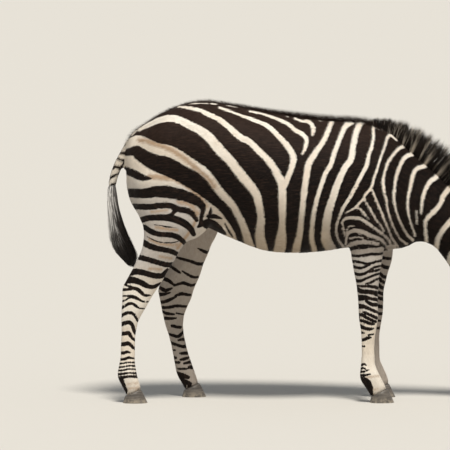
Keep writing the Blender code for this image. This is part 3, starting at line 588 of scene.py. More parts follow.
FORE_RINGS = [
    [(126, 674, 18), (144, 681, 18), (167, 686, 16), (197, 688, 16), (227, 692, 14), (257, 691, 11),
     (284, 698, 9)],
    [(126, 654, 11), (149, 652, 12), (176, 649, 13), (206, 652, 14), (233, 658, 14), (260, 657, 12),
     (295, 662, 11)],
    [(131, 627, 12), (153, 625, 14), (182, 622, 13), (206, 616, 12), (230, 616, 12), (254, 623, 12),
     (291, 631, 11)],
    [(135, 606, 12), (153, 602, 14), (173, 597, 14), (191, 596, 13), (209, 602, 12), (228, 612, 11)],
    [(140, 576, 12), (160, 571, 14), (182, 566, 15), (203, 570, 14), (221, 580, 12), (234, 590, 11),
     (248, 598, 11), (266, 603, 11), (291, 608, 9)],
    [(225, 577, 9), (248, 582, 12), (264, 586, 11), (286, 592, 9)],
    [(142, 548, 13), (161, 543, 14), (179, 537, 15), (194, 540, 14), (209, 548, 12), (225, 554, 11),
     (239, 560, 11), (257, 566, 11), (284, 573, 9)],
    [(212, 524, 9), (233, 531, 12), (251, 540, 12), (277, 552, 9)],
    [(170, 517, 7), (189, 514, 12), (212, 514, 13), (236, 513, 14), (254, 510, 17), (273, 502, 11)],
    [(160, 514, 16), (177, 499, 20), (194, 491, 21), (222, 489, 21), (239, 486, 21), (257, 483, 22),
     (279, 472, 14)],
    [(158, 463, 26), (189, 462, 27), (212, 463, 22), (234, 459, 15), (257, 454, 16), (279, 446, 13)],
    [(211, 449, 13), (225, 440, 16), (241, 432, 18), (257, 431, 18), (279, 432, 13)],
    [(160, 424, 23), (189, 424, 23), (204, 423, 19), (219, 416, 16), (232, 411, 15), (252, 402, 15),
     (275, 393, 12)],
    [(202, 398, 12), (221, 390, 14), (239, 382, 15), (257, 374, 15), (270, 368, 10)],
    [(183, 387, 14), (198, 385, 17), (207, 378, 16), (222, 370, 15), (237, 362, 14), (257, 354, 12)],
    [(169, 382, 16), (179, 374, 16)],
    [(184, 361, 13), (202, 358, 15), (216, 353, 15), (231, 347, 15), (248, 344, 10)],
    [(179, 338, 15), (189, 334, 18), (209, 325, 17), (228, 322, 16), (246, 325, 10)],
    [(180, 305, 14), (206, 305, 9)],
    [(223, 295, 9), (246, 299, 9)],
    [(185, 270, 12), (197, 273, 15), (209, 276, 15), (222, 282, 15), (234, 284, 10)],
    [(183, 243, 12), (207, 245, 8)],
    [(171, 158, 8), (194, 160, 12), (205, 165, 12), (214, 159, 7)],
    [(171, 144, 9), (192, 144, 10), (203, 148, 10), (212, 141, 7)],
    [(167, 130, 10), (191, 130, 12), (207, 132, 8), (225, 139, 7)],
    [(167, 113, 12), (196, 114, 13), (210, 115, 12), (232, 120, 7)],
    [(171, 88, 34), (185, 90, 34), (204, 90, 34), (220, 80, 33), (231, 62, 27), (234, 43, 24),
     (243, 22, 17)],
    [(275, 702, 11), (293, 693, 13), (304, 677, 12), (304, 657, 9)],
    [(275, 536, 11), (286, 522, 11), (302, 508, 11)],
    [(252, 475, 9), (272, 468, 9), (293, 456, 9)],
]
# Black in the fold between thigh and belly: partly the zebra's own patches, partly painted shadow in the
# fold.
GROIN_MARKS_AND_SHADOW = [
    [(-481, 862, 8), (-483, 842, 16), (-492, 819, 10)],
    [(-497, 828, 12), (-468, 827, 23), (-432, 817, 8)],
    [(-540, 778, 8), (-513, 794, 31), (-486, 790, 51), (-454, 774, 43), (-418, 749, 16)],
    [(-418, 794, 7), (-400, 760, 11), (-382, 734, 7)],
]
HIND_INNER_RINGS = [
    [(-540, 670, 7), (-517, 657, 15), (-495, 644, 15)],
    [(-648, 626, 10), (-612, 621, 13), (-576, 612, 15), (-540, 598, 16), (-508, 594, 16)],
    [(-666, 585, 13), (-643, 572, 15), (-621, 558, 10)],
    [(-612, 567, 7), (-585, 549, 13), (-558, 536, 14), (-535, 536, 10)],
    [(-706, 531, 18), (-675, 522, 18), (-652, 506, 13)],
    [(-648, 500, 10), (-625, 508, 15), (-603, 511, 15), (-576, 500, 15), (-549, 500, 13)],
    [(-720, 490, 18), (-688, 477, 18), (-657, 488, 9)],
    [(-724, 454, 18), (-693, 459, 15), (-666, 468, 7)],
    [(-643, 454, 10), (-621, 461, 16), (-603, 461, 16), (-576, 454, 13)],
    [(-720, 418, 16), (-693, 425, 16), (-666, 436, 15), (-639, 450, 10)],
    [(-720, 396, 14), (-675, 400, 15), (-643, 407, 14), (-621, 407, 14), (-589, 400, 13)],
    [(-711, 380, 13), (-675, 371, 15), (-648, 369, 9)],
    [(-639, 374, 8), (-598, 364, 8)],
    [(-702, 349, 16), (-666, 349, 15), (-639, 351, 8)],
    [(-657, 315, 15), (-621, 308, 15)],
    [(-675, 277, 11), (-648, 270, 15), (-630, 267, 15), (-612, 281, 15), (-591, 295, 13)],
    [(-630, 250, 10), (-612, 253, 15), (-589, 251, 11)],
    [(-679, 238, 14), (-661, 236, 16), (-639, 230, 14), (-612, 222, 15), (-589, 220, 16)],
    [(-621, 191, 10), (-603, 191, 15), (-571, 191, 16)],
    [(-670, 202, 10), (-643, 205, 8)],
    [(-621, 162, 10), (-603, 166, 16), (-585, 170, 11)],
    [(-661, 173, 14), (-641, 170, 14)],
    [(-657, 148, 13), (-625, 150, 13)],
    [(-603, 146, 11), (-576, 150, 14), (-553, 144, 19)],
    [(-630, 121, 11), (-589, 122, 10)],
    [(-580, 128, 15), (-549, 126, 23)],
    [(-648, 94, 27), (-612, 90, 27), (-585, 83, 18)],
    [(-634, 68, 23), (-603, 63, 25), (-576, 54, 18)],
]
FORE_INNER_RINGS = [
    [(279, 634, 15), (306, 626, 15), (333, 621, 15)],
    [(284, 598, 17), (306, 585, 17), (333, 578, 17)],
    [(279, 560, 16), (302, 540, 16), (329, 535, 16)],
    [(279, 536, 14), (293, 520, 14), (320, 504, 14)],
    [(275, 506, 16), (293, 490, 16), (320, 479, 16)],
    [(270, 475, 15), (297, 461, 15), (320, 454, 15)],
    [(270, 448, 15), (297, 438, 15), (320, 434, 15)],
    [(266, 412, 17), (288, 405, 17), (311, 398, 17)],
    [(261, 378, 14), (297, 371, 14)],
    [(261, 346, 11), (293, 338, 11)],
    [(252, 310, 13), (288, 306, 13)],
]
SHADOW_STRIPES = [  # faint brown stripes down the middle of the white ones on the haunch
    [(-801, 1168, 20), (-765, 1162, 20), (-726, 1148, 20), (-681, 1133, 20), (-636, 1110, 20),
     (-591, 1080, 20), (-546, 1043, 20), (-501, 1005, 20), (-463, 958, 20)],
    [(-751, 1004, 22), (-711, 1001, 22), (-658, 996, 22), (-606, 975, 22), (-561, 945, 22),
     (-531, 915, 22), (-504, 873, 22)],
    [(-625, 894, 16), (-591, 885, 16), (-561, 870, 16), (-538, 840, 16)],
    [(-540, 842, 12), (-551, 801, 12), (-576, 756, 12), (-603, 720, 12), (-630, 684, 12)],
    [(-747, 846, 7), (-675, 853, 7)],
    [(-724, 778, 11), (-675, 770, 11), (-630, 765, 11)],
    [(-756, 724, 10), (-702, 702, 10), (-630, 700, 10)],
    [(-711, 648, 8), (-657, 639, 8)],
    [(-756, 594, 8), (-702, 590, 8)],
    [(-855, 76, 4), (-810, 81, 4)],
    [(-850, 56, 4), (-805, 61, 4)],
    [(-841, 38, 4), (-796, 43, 4)],
    [(239, 50, 4), (266, 54, 4)],
    [(243, 37, 4), (275, 40, 4)],
    [(248, 25, 4), (284, 29, 4)],
    [(216, 106, 5), (270, 112, 5)],
]
FORELEG_WHITE = [(126, 690), (212, 688), (300, 693), (352, 702), (360, -20), (126, -20)]
HAUNCH_FOOT = [(-345, 690), (-330, -20), (-980, -20), (-980, 1114)]


def curve(stripe, steps=4):
    """A smooth path through a stripe's places, in metres."""
    way = np.array(stripe, float) / 1000
    way = np.vstack((2 * way[0] - way[1], way, 2 * way[-1] - way[-2]))
    path = []
    for a, b, c, d in zip(way, way[1:], way[2:], way[3:]):
        for t in np.arange(steps) / steps:
            bend = (2 * a - 5 * b + 4 * c - d) * t ** 2 + (3 * b - a - 3 * c + d) * t ** 3
            path.append(0.5 * (2 * b + (c - a) * t + bend))
    path.append(way[-2])
    return np.array(path)


def inside(x, h, stripe):
    """How far inside a stripe each place is; outside counts below nothing."""
    path = curve(stripe)
    value = np.full(len(x), -FADE)
    low, high = path[:, :2].min(axis=0) - 0.045, path[:, :2].max(axis=0) + 0.045
    near = np.flatnonzero((x > low[0]) & (x < high[0]) & (h > low[1]) & (h < high[1]))
    px, ph, best = x[near], h[near], np.full(len(near), -FADE)
    for (ax, ah, aw), (bx, bh, bw) in zip(path, path[1:]):
        dx, dh = bx - ax, bh - ah
        t = np.clip(((px - ax) * dx + (ph - ah) * dh) / (dx * dx + dh * dh + 1e-12), 0, 1)
        best = np.maximum(best, (aw + (bw - aw) * t) / 2 - np.hypot(px - ax - dx * t, ph - ah - dh * t))
    value[near] = best
    return value


def within(x, h, outline):
    """How far inside a closed outline each place is."""
    corners = np.array(outline, float) / 1000
    odd, gap = np.zeros(len(x), bool), np.full(len(x), 1.0)
    for (ax, ah), (bx, bh) in zip(corners, np.roll(corners, -1, axis=0)):
        dx, dh = bx - ax, bh - ah
        if dh:
            odd ^= ((ah > h) != (bh > h)) & (x < ax + dx * (h - ah) / dh)
        t = np.clip(((x - ax) * dx + (h - ah) * dh) / (dx * dx + dh * dh + 1e-12), 0, 1)
        gap = np.minimum(gap, np.hypot(x - ax - dx * t, h - ah - dh * t))
    return np.clip(np.where(odd, gap, -gap), -FADE, FADE)


HAUNCH_WHITE = [(x * 1000, h * 1000) for x, h, _ in curve(HAUNCH_EDGE)] + HAUNCH_FOOT
HIND_SETTLE, FORE_SETTLE = (0.62, 0.95), (0.45, 0.70)  # over these heights a leg's own shift dies out


def leg_shift(x, z):
    """How much further forward the left leg of a pair stands than the right, at each height."""
    shift = np.zeros(len(x))
    for pair, settle, share in (("hind", HIND_SETTLE, x < -0.25), ("fore", FORE_SETTLE, x > -0.05)):
        left, right = leg_lines[pair + "_left"], leg_lines[pair + "_right"]
        apart = np.interp(z, left[:, 0], left[:, 1]) - np.interp(z, right[:, 0], right[:, 1])
        shift = np.where(share, apart * (1 - smoothstep(*settle, z)), shift)
    return shift


HEAD_ROWS = np.array((  # down the face, jaw's edge, face's edge, half width
    (0.00, -0.14, 0.000, 0.062), (0.06, -0.180, 0.028, 0.084), (0.11, -0.196, 0.040, 0.091),
    (0.16, -0.192, 0.043, 0.090), (0.215, -0.168, 0.039, 0.076), (0.28, -0.138, 0.031, 0.061),
    (0.35, -0.116, 0.021, 0.050), (0.41, -0.105, 0.013, 0.046), (0.46, -0.107, 0.008, 0.051),
    (0.50, -0.104, -0.004, 0.050), (0.54, -0.080, -0.035, 0.030)))
FACE_LINES, CHEEK_BAND = 5.0, 0.031  # lengthwise lines in each radian round the face; cheek stripes' pitch


def head_stripes(points):
    """Fine lines down the front of the face, which turn across the cheeks and bow to the jaw."""
    down, off, out = on_head(points)
    jaw, face, wide = (np.interp(down, HEAD_ROWS[:, 0], HEAD_ROWS[:, k]) for k in (1, 2, 3))
    middle = (jaw + face) / 2 + 0.012
    turn = np.arctan2(out / wide, (off - middle) / ((face - jaw) / 2))
    turn = turn + 0.05 * np.sin(down * 38 + points[:, 1] * 9)
    fast = 1.25 * np.tanh(turn / 1.25)
    across = smoothstep(0.25, 1.95, turn)
    wave = down - 0.215 + 0.005 * np.sin(turn * 5 + down * 22)
    phase = 2 * math.pi * (FACE_LINES * fast + across * wave / CHEEK_BAND)
    size = 0.0040 * (1 - across) + 0.0062 * across
    return np.cos(phase + 0.5) * size + 0.0002


EAR_LENGTH, EAR_HALF = 0.172, 0.042
EAR_SHAPE = ((-0.2, 0.16, 0.32, 0.54, 0.76, 0.92, 1.0), (0.62, 0.72, 0.92, 1.0, 0.86, 0.52, 0.18))
EAR_ROOT = np.array(HEAD_TOP) - 0.002 * DOWN_FACE - 0.014 * OFF_FACE + (0, 0.054, 0)
EAR_UP = -0.86 * DOWN_FACE + 0.10 * OFF_FACE + (0, 0.42, 0)
EAR_UP /= np.linalg.norm(EAR_UP)
EAR_MOUTH = 0.66 * OFF_FACE + (0, 0.75, 0)
EAR_MOUTH -= EAR_UP * (EAR_MOUTH @ EAR_UP)
EAR_MOUTH /= np.linalg.norm(EAR_MOUTH)
EAR_ACROSS = np.cross(EAR_UP, EAR_MOUTH)


def on_ear(points):
    """How far up its ear each point is, and how far across it: 1 is the tip, 1 and -1 the edges."""
    mirror = np.stack((np.ones(len(points)), np.sign(points[:, 1]), np.ones(len(points))), axis=1)
    away = points * mirror - EAR_ROOT
    up = away @ EAR_UP / EAR_LENGTH
    return up, away @ EAR_ACROSS / (EAR_HALF * np.interp(up, *EAR_SHAPE))


DOCK_MARKS = [  # rings round the dock and the dark line down its front
    [(-877, 1158, 6), (-867, 1150, 9), (-858, 1138, 7)],
    [(-906, 1125, 14), (-888, 1117, 14), (-873, 1113, 14), (-855, 1104, 14)],
    [(-913, 1097, 12), (-902, 1092, 12), (-886, 1084, 12), (-864, 1076, 11)],
    [(-936, 1042, 14), (-920, 1048, 16), (-904, 1052, 16), (-884, 1046, 14)],
    [(-945, 994, 8), (-924, 1008, 11), (-910, 1015, 11), (-891, 1022, 9)],
    [(-945, 956, 8), (-929, 969, 10), (-918, 976, 11), (-900, 978, 9)],
    [(-920, 951, 11), (-902, 956, 12)],
    [(-859, 1098, 8), (-866, 1076, 9), (-878, 1055, 9), (-887, 1029, 9), (-894, 996, 9),
     (-899, 958, 9)],
]

# how ragged the edges of its stripes are, by region
SHAG = {"trunk": 1.0, "neck": 0.8, "head": 0.25, "ear": 0.4, "leg": 0.5, "tail": 0.4}


def markings(points, normals, weight):
    """White (above nothing) or black, brown, soil and painted shade, painted grey shade, dark muzzle, and
    bare skin at each point.
    """
    x, y, z = points.T
    h = SIDE_VIEW_RISE * z - SIDE_VIEW_DROP * np.abs(y)
    far_side = smoothstep(0.02, 0.10, y)
    head, ear, leg, tail = (weight[:, REGIONS.index(r)] for r in ("head", "ear", "leg", "tail"))
    shift = leg_shift(x, z)
    left = y > 0
    moved = far_side * (1 - leg)
    right_x = np.where(left, x - shift, x) + moved * (0.010 * np.sin(9 * x + 1.3) + 0.006 * np.sin(17 * z))
    left_x = np.where(left, x, x + shift)
    rise = h + moved * 0.009 * np.sin(11 * x + 0.6)

    outer = np.full(len(x), -FADE)
    for stripe in BODY_STRIPES + SHOULDER_STRIPES + NECK_STRIPES + ELBOW_STRIPES:
        outer = np.maximum(outer, inside(right_x, rise, stripe))
    fore = smoothstep(-0.82, -0.64, x)
    beside_spine = 0.015 - np.abs(np.abs(y) - 0.031 - 0.023 * fore)
    for tick in BACK_TICKS:
        outer = np.maximum(outer, np.minimum(inside(right_x, rise, tick), beside_spine))
    outer = np.maximum(outer, within(right_x, rise, HAUNCH_WHITE))
    outer = np.maximum(outer, within(right_x, rise, FORELEG_WHITE))
    for stripe in [HAUNCH_EDGE] + HAUNCH_STRIPES + GROIN_MARKS_AND_SHADOW + HIND_RINGS + FORE_RINGS:
        outer = np.minimum(outer, -inside(right_x, rise, stripe))

    inner = np.full(len(x), FADE)
    for ring in HIND_INNER_RINGS + FORE_INNER_RINGS:
        inner = np.minimum(inner, -inside(left_x, h, ring))
    to_middle = -normals[:, 1] * np.sign(y)
    under = smoothstep(0.10, 0.45, to_middle) * smoothstep(0.92, 0.80, z)
    inner_leg = under * np.where((x < -0.35) | (leg > 0.5), 1, 0)
    white = outer * (1 - inner_leg) + inner * inner_leg

    belly = (normals[:, 2] < -0.65) & (z > 0.62) & (x > -0.45) & (x < 0.30)
    spine = (normals[:, 2] > 0.30) & (z > 1.0) & (x < 0.29)
    half = 0.011 + 0.008 * fore + 0.010 * smoothstep(-0.7, 0.0, x) + 0.003 * np.sin(x * 23)
    dark_line = np.abs(y) - np.where(belly, 0.016, half)  # along the spine and under the belly
    white = np.where(belly | spine, np.minimum(white, dark_line), white)

    white = white * (1 - head) + head_stripes(points) * head
    lids, from_ball = lid_gap(points)[:2]
    white = np.where(head > 0.5, np.minimum(white, np.maximum(-0.0070 - lids, from_ball - 0.030)), white)
    lids = np.where(from_ball < 0.030, lids, -FADE)

    up_ear, across_ear = on_ear(points)
    mouth_way = normals * np.stack((np.ones(len(x)), np.sign(y), np.ones(len(x))), axis=1) @ EAR_MOUTH
    cup = smoothstep(-0.1, 0.3, mouth_way)
    bands = np.minimum(np.abs(up_ear - 0.28) - 0.075, np.abs(up_ear - 0.72) - 0.155) * EAR_LENGTH
    rim = np.maximum((0.72 - np.abs(across_ear)) * 0.03, (np.abs(up_ear - 0.69) - 0.21) * EAR_LENGTH)
    white = white * (1 - ear) + ear * np.where(cup > 0.5, rim, bands)

    dock = np.minimum(np.full(len(x), FADE), 0.03 * smoothstep(0.4, -0.2, -normals[:, 0]) - 0.006 + np.abs(y))
    for stripe in DOCK_MARKS:
        dock = np.minimum(dock, -inside(x, h, stripe))
    on_dock = smoothstep(0.15, 0.45, tail)
    white = white * (1 - on_dock) + dock * on_dock

    brown = np.zeros(len(x))
    for stripe in SHADOW_STRIPES:
        brown = np.maximum(brown, smoothstep(-0.005, 0.004, inside(right_x, rise, stripe)))
    brown *= (1 - inner_leg) * (1 - on_dock)
    down, off, out = on_head(points)
    muzzle = head * smoothstep(0.405, 0.452, down + 0.006 * np.sin(off * 60))
    brown = np.maximum(brown, head * 0.75 * np.exp(-((down - 0.395) / 0.030) ** 2))
    # Soil and painted shade: the cream darkens from 1.0 m down to the belly at 0.68 m. This is partly the
    # belly's own duller hair and partly painted shade where the light from above falls off. There is less of
    # it ahead of the shoulder and on the haunch.
    ahead = smoothstep(0.34, 0.46, x)
    soil_and_painted_shade = smoothstep(1.00, 0.68, z) * (1 - head) * (1 - leg) * (0.95 - 0.75 * ahead)
    haunch = smoothstep(-0.42, -0.60, x)
    soil_and_painted_shade *= 1 - 0.6 * haunch
    # Painted shade on the inner sides of the legs, and darker low down the legs, below 0.16 m.
    soil_and_painted_shade = np.maximum(soil_and_painted_shade, inner_leg * 0.90)
    soil_and_painted_shade = np.maximum(soil_and_painted_shade, 0.35 * smoothstep(0.16, 0.04, z))
    # Painted grey shade: on the lower rear of the haunch, round the elbows under the chest, and on the inner
    # sides of the legs.
    grey = 0.60 * haunch * smoothstep(1.06, 0.90, z) * smoothstep(0.48, 0.66, z)
    elbow = smoothstep(0.02, 0.08, x) * smoothstep(0.92, 0.72, z) * smoothstep(0.34, 0.48, z) * (1 - ahead)
    grey = np.maximum(grey, 0.60 * elbow)
    grey = np.maximum(grey, 0.55 * inner_leg) * (1 - head) * (1 - on_dock)
    soil_and_painted_shade *= 1 - on_dock
    # Painted shade deep in the hollow of each ear, darker towards its root.
    painted_cup_shade = ear * cup * smoothstep(0.80, 0.15, up_ear) * smoothstep(0.95, 0.15, np.abs(across_ear))
    soil_and_painted_shade = np.maximum(soil_and_painted_shade, painted_cup_shade)
    heel = leg * smoothstep(0.124, 0.108, z) * smoothstep(0.1, 0.6, -normals[:, 0])
    white = np.where(heel > 0.5, np.minimum(white, -0.004), white)
    bare = np.maximum(muzzle, head * smoothstep(-0.007, -0.003, lids))
    white = np.clip(white, -FADE, FADE)
    return {"white": white, "brown": brown, "soil_and_painted_shade": soil_and_painted_shade, "grey": grey, "muzzle": muzzle, "bare": bare,
            "shag": mixed(weight, SHAG)}


def label(mesh, marks):
    for name, values in marks.items():
        mark = mesh.attributes.new(name, "FLOAT", "POINT")
        mark.data.foreach_set("value", np.ascontiguousarray(values, dtype=np.float32))


LINE_ERROR = (0.0016, 0.0011, 0.0008)  # an edge that misplaces a stripe's edge by more is cut,
SHORTEST = (0.0060, 0.0042, 0.0030)  # if it is longer than this


def marked():
    """The hide's points as they stand, with all that is dyed into them."""
    points, normals = places(skin.data), outwards(skin.data)
    weight = region_weights(owners(points), edges_of(skin.data), 5)
    return points, normals, weight, markings(points, normals, weight)


for error, shortest in zip(LINE_ERROR, SHORTEST):
    points, normals, weight, marks = marked()
    ends = edges_of(skin.data)
    middles = [values[ends].mean(axis=1) for values in (points, normals, weight)]
    halfway = markings(*middles)["white"]
    guess = marks["white"][ends].mean(axis=1)
    size = np.linalg.norm(points[ends[:, 0]] - points[ends[:, 1]], axis=1)
    crossed = (np.abs(halfway) < 0.4 * size) | (halfway * guess < 0)
    cut = crossed & (np.abs(halfway - guess) > error) & (size > shortest)
    refined(skin.data, cut)
points, normals, weight, marks = marked()
label(skin.data, marks)

# The hide's dye: black and cream with a hairy edge, brown shadow stripes, cream darkened low on
# the body by soil and painted shade, painted grey shade on the lower haunch, round the elbows and
# inside the legs, black browned up the back by a painted sheen, dark muzzle. The same finish goes
# on the hairs, which carry the same marks.


class Finish:
    """A material and short ways to add its nodes."""

    def __init__(self, name):
        self.material = bpy.data.materials.new(name)
        self.material.use_nodes = True
        self.tree = self.material.node_tree
        self.shader = self.tree.nodes["Principled BSDF"]

    def add(self, kind, **settings):
        node = self.tree.nodes.new(kind)
        for key, value in settings.items():
            setattr(node, key, value)
        return node

    def feed(self, node, **values):
        for key, value in values.items():
            socket = node.inputs[int(key[1:])] if key[0] == "i" and key[1:].isdigit() else node.inputs[key]
            if isinstance(value, bpy.types.NodeSocket):
                self.tree.links.new(value, socket)
            else:
                socket.default_value = value
        return node

    def mark(self, name):
        return self.add("ShaderNodeAttribute", attribute_name=name).outputs["Fac"]

    def noise(self, vector, scale, detail=3.0, rough=0.55):
        node = self.feed(self.add("ShaderNodeTexNoise"), Scale=scale, Detail=detail, Roughness=rough)
        self.tree.links.new(vector, node.inputs["Vector"])
        return node.outputs["Fac"]

    def stretch(self, vector, scale):
        node = self.feed(self.add("ShaderNodeMapping"), Scale=scale)
        self.tree.links.new(vector, node.inputs["Vector"])
        return node.outputs["Vector"]

    def sum(self, how, a, b, c=None):
        node = self.add("ShaderNodeMath", operation=how)
        for index, value in enumerate((a, b) if c is None else (a, b, c)):
            self.feed(node, **{"i%d" % index: value})
        return node.outputs[0]

    def ramp(self, value, low, high, to_low=0.0, to_high=1.0):
        node = self.add("ShaderNodeMapRange", interpolation_type="SMOOTHSTEP")
        self.feed(node, i0=value, i1=low, i2=high, i3=to_low, i4=to_high)
        return node.outputs[0]

    def mix(self, share, a, b):
        node = self.add("ShaderNodeMix", data_type="RGBA")
        self.feed(node, i0=share, i6=a, i7=b)
        return node.outputs[2]

    def bump(self, height, strength, distance, before=None):
        node = self.feed(self.add("ShaderNodeBump"), Strength=strength, Distance=distance, Height=height)
        if before is not None:
            self.tree.links.new(before, node.inputs["Normal"])
        return node.outputs["Normal"]


CREAM, WARM_WHITE = (0.80, 0.70, 0.58, 1), (0.86, 0.79, 0.69, 1)
SOIL_AND_SHADE_BROWN, BROWN = (0.43, 0.34, 0.245, 1), (0.42, 0.275, 0.165, 1)
PAINTED_SHADE_GREY = (0.335, 0.305, 0.290, 1)
BLACK, RUSTY_BLACK = (0.0058, 0.0038, 0.0030, 1), (0.031, 0.0170, 0.0115, 1)
MUZZLE_SKIN = (0.030, 0.022, 0.020, 1)


def coat_finish(name, on_hairs):
    finish = Finish(name)
    lie = finish.add("ShaderNodeUVMap", uv_map="Lie").outputs["UV"]
    body = finish.add("ShaderNodeTexCoord").outputs["Object"]
    hair = finish.noise(finish.stretch(lie, (900, 70, 1)), 1.0, 2.0)
    clump = finish.noise(finish.stretch(lie, (160, 26, 1)), 1.0, 2.0)
    patch = finish.noise(body, 5.0, 3.0)
    ragged = finish.sum("MULTIPLY_ADD", hair, 0.0080, -0.0040)
    ragged = finish.sum("ADD", ragged, finish.sum("MULTIPLY_ADD", clump, 0.0150, -0.0075))
    ragged = finish.sum("MULTIPLY", ragged, finish.mark("shag"))
    white = finish.ramp(finish.sum("ADD", finish.mark("white"), ragged), -0.0009, 0.0009)
    pale = finish.mix(finish.ramp(patch, 0.35, 0.65), CREAM, WARM_WHITE)
    # Soil and painted shade: low on the body, inside the legs and deep in the ears the cream turns
    # grey-brown, patchily by clumps of hair.
    soil_and_painted_shade = finish.sum("MULTIPLY", finish.mark("soil_and_painted_shade"), finish.ramp(clump, 0.1, 0.7, 0.75, 1.1))
    pale = finish.mix(soil_and_painted_shade, pale, SOIL_AND_SHADE_BROWN)
    # Painted grey shade on the lower haunch, round the elbows and inside the legs.
    pale = finish.mix(finish.mark("grey"), pale, PAINTED_SHADE_GREY)
    brown = finish.sum("MULTIPLY", finish.mark("brown"), finish.ramp(hair, 0.30, 0.62, 0.50, 1.0))
    pale = finish.mix(brown, pale, BROWN)
    height = finish.add("ShaderNodeSeparateXYZ")
    finish.feed(height, i0=body)
    # Brown in the black: clumps of browner hair at random, and a painted sheen that browns the black from 1.0
    # m up to the top of the back.
    rusty_clumps = finish.ramp(clump, 0.42, 0.72, 0.0, 0.8)
    brown_tone_and_painted_sheen = finish.sum("ADD", rusty_clumps, finish.ramp(height.outputs[2], 1.0, 1.32, 0.0, 0.8))
    dark = finish.mix(brown_tone_and_painted_sheen, BLACK, RUSTY_BLACK)
    colour = finish.mix(white, dark, pale)
    colour = finish.mix(finish.mark("muzzle"), colour, MUZZLE_SKIN)
    shade = finish.ramp(hair, 0.2, 0.8, 0.80, 1.12)
    tint = finish.add("ShaderNodeMix", data_type="RGBA", blend_type="MULTIPLY")
    grey = finish.add("ShaderNodeCombineColor")
    finish.feed(grey, i0=shade, i1=shade, i2=shade)
    finish.feed(tint, i0=1.0, i6=colour, i7=grey.outputs[0])
    finish.feed(finish.shader, **{"Base Color": tint.outputs[2], "Roughness": 0.68,
                                  "Specular IOR Level": 0.10, "Sheen Weight": 0.01,
                                  "Sheen Roughness": 0.5, "Sheen Tint": (1.0, 0.95, 0.88, 1)})
    if not on_hairs:
        fine = finish.bump(hair, 0.35, 0.0012)
        broad = finish.bump(clump, 0.30, 0.0030, fine)
        finish.tree.links.new(broad, finish.shader.inputs["Normal"])
    return finish.material


# The hide laid flat: each region is unrolled about its own line, in metres round it and along it.
NECK_LINE = (np.array((0.33, 0, 1.00)), np.array((0.78, 0, 0.58)))


def unrolled(points, region, left):
    """Round the body from its upper edge, and along it, in metres."""
    x, y, z = points.T
    side = np.where(left, 1.0, -1.0)
    if region == "trunk":
        return np.arctan2(side * y, z - 1.0) * 0.30, x
    if region == "neck":
        along = NECK_LINE[1] - NECK_LINE[0]
        length = np.linalg.norm(along)
        along = along / length
        crest = np.array((-along[2], 0, along[0])) * -1
        crest = crest if crest[2] > 0 else -crest
        away = points - NECK_LINE[0]
        return np.arctan2(side * y, away @ crest) * 0.16, away @ along
    down, off, out = on_head(points)
    if region == "head":
        return np.arctan2(side * y, off + 0.07) * 0.08, down
    if region == "ear":
        return off * 1.0 + out * 0.3, on_ear(points)[0] * EAR_LENGTH
    if region == "tail":
        return np.arctan2(y, -(x + 0.90)) * 0.027, -z
    forward, outward = np.zeros(len(x)), np.zeros(len(x))
    for leg in LEGS:
        mine = ((x < -0.2) == leg.startswith("hind")) & (left == leg.endswith("left"))
        f, o, _ = leg_frame(points, leg)
        forward, outward = np.where(mine, f, forward), np.where(mine, o, outward)
    return np.arctan2(outward * side, forward) * 0.04, -z


CHART_SHAPE = {  # where each chart's left copy sits in the unit square, and the metres it spans
    "trunk": ((0.01, 0.60), (0.48, 0.38), (-0.95, 0.95), (-0.95, 0.45)),
    "neck": ((0.01, 0.40), (0.48, 0.18), (-0.52, 0.52), (-0.25, 0.75)),
    "head": ((0.01, 0.22), (0.48, 0.16), (-0.27, 0.27), (-0.10, 0.60)),
    "ear": ((0.01, 0.14), (0.48, 0.06), (-0.12, 0.16), (-0.06, 0.20)),
    "leg": ((0.01, 0.01), (0.48, 0.11), (-0.14, 0.14), (-1.05, 0.02)),
    "tail": ((0.01, 0.125), (0.48, 0.012), (-0.10, 0.10), (-1.25, -0.90)),
}


def laid_flat(points, weight):
    """Metric places on the unrolled hide, and places in the unit square where no two parts meet."""
    left = points[:, 1] > 0
    main = weight.argmax(axis=1)
    metric, square = np.zeros((len(points), 2)), np.zeros((len(points), 2))
    for index, region in enumerate(REGIONS):
        mine = main == index
        if not mine.any():
            continue
        around, along = unrolled(points[mine], region, left[mine])
        metric[mine] = np.stack((around, along), axis=1)
        corner, size, span_a, span_b = CHART_SHAPE[region]
        u = np.clip((around - span_a[0]) / (span_a[1] - span_a[0]), 0, 1)
        v = np.clip((along - span_b[0]) / (span_b[1] - span_b[0]), 0, 1)
        if region == "leg":
            u = (u + (points[mine, 0] < -0.2)) / 2
        square[mine, 0] = corner[0] + size[0] * u + 0.5 * left[mine]
        square[mine, 1] = corner[1] + size[1] * v
    return metric, square


def corner_points(mesh):
    found = np.empty(len(mesh.loops), dtype=np.int32)
    mesh.loops.foreach_get("vertex_index", found)
    return found


def add_map(mesh, name, at_points):
    layer = mesh.uv_layers.new(name=name)
    at_corners = np.ascontiguousarray(at_points[corner_points(mesh)], dtype=np.float32)
    layer.data.foreach_set("uv", at_corners.ravel())


lie_map = laid_flat(points, weight)[0]
add_map(skin.data, "Lie", lie_map)
skin.data.materials.clear()
skin.data.materials.append(coat_finish("dyed_hide", False))
skin.vertex_groups.clear()
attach(skin, "root")
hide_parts(*FLESH)

# ---------------------------------------------------------------- coat
# Short flat hair on every side, laid tuft over tuft from head to tail and down the legs. Each
# tuft is a thin solid sliver rooted under the hide's surface, longer and more raised along the
# spine, most over the rump and towards the withers, shortest on the face and the muzzle, and
# shorter at the stripes' edges. It carries the marks at its root.

draw = np.random.default_rng(41)
PATCH = 0.003  # each tuft's own patch across its root's place in the unit square


def triangles_of(mesh):
    mesh.calc_loop_triangles()
    found = np.empty(len(mesh.loop_triangles) * 3, dtype=np.int32)
    mesh.loop_triangles.foreach_get("vertices", found)
    return found.reshape(-1, 3)


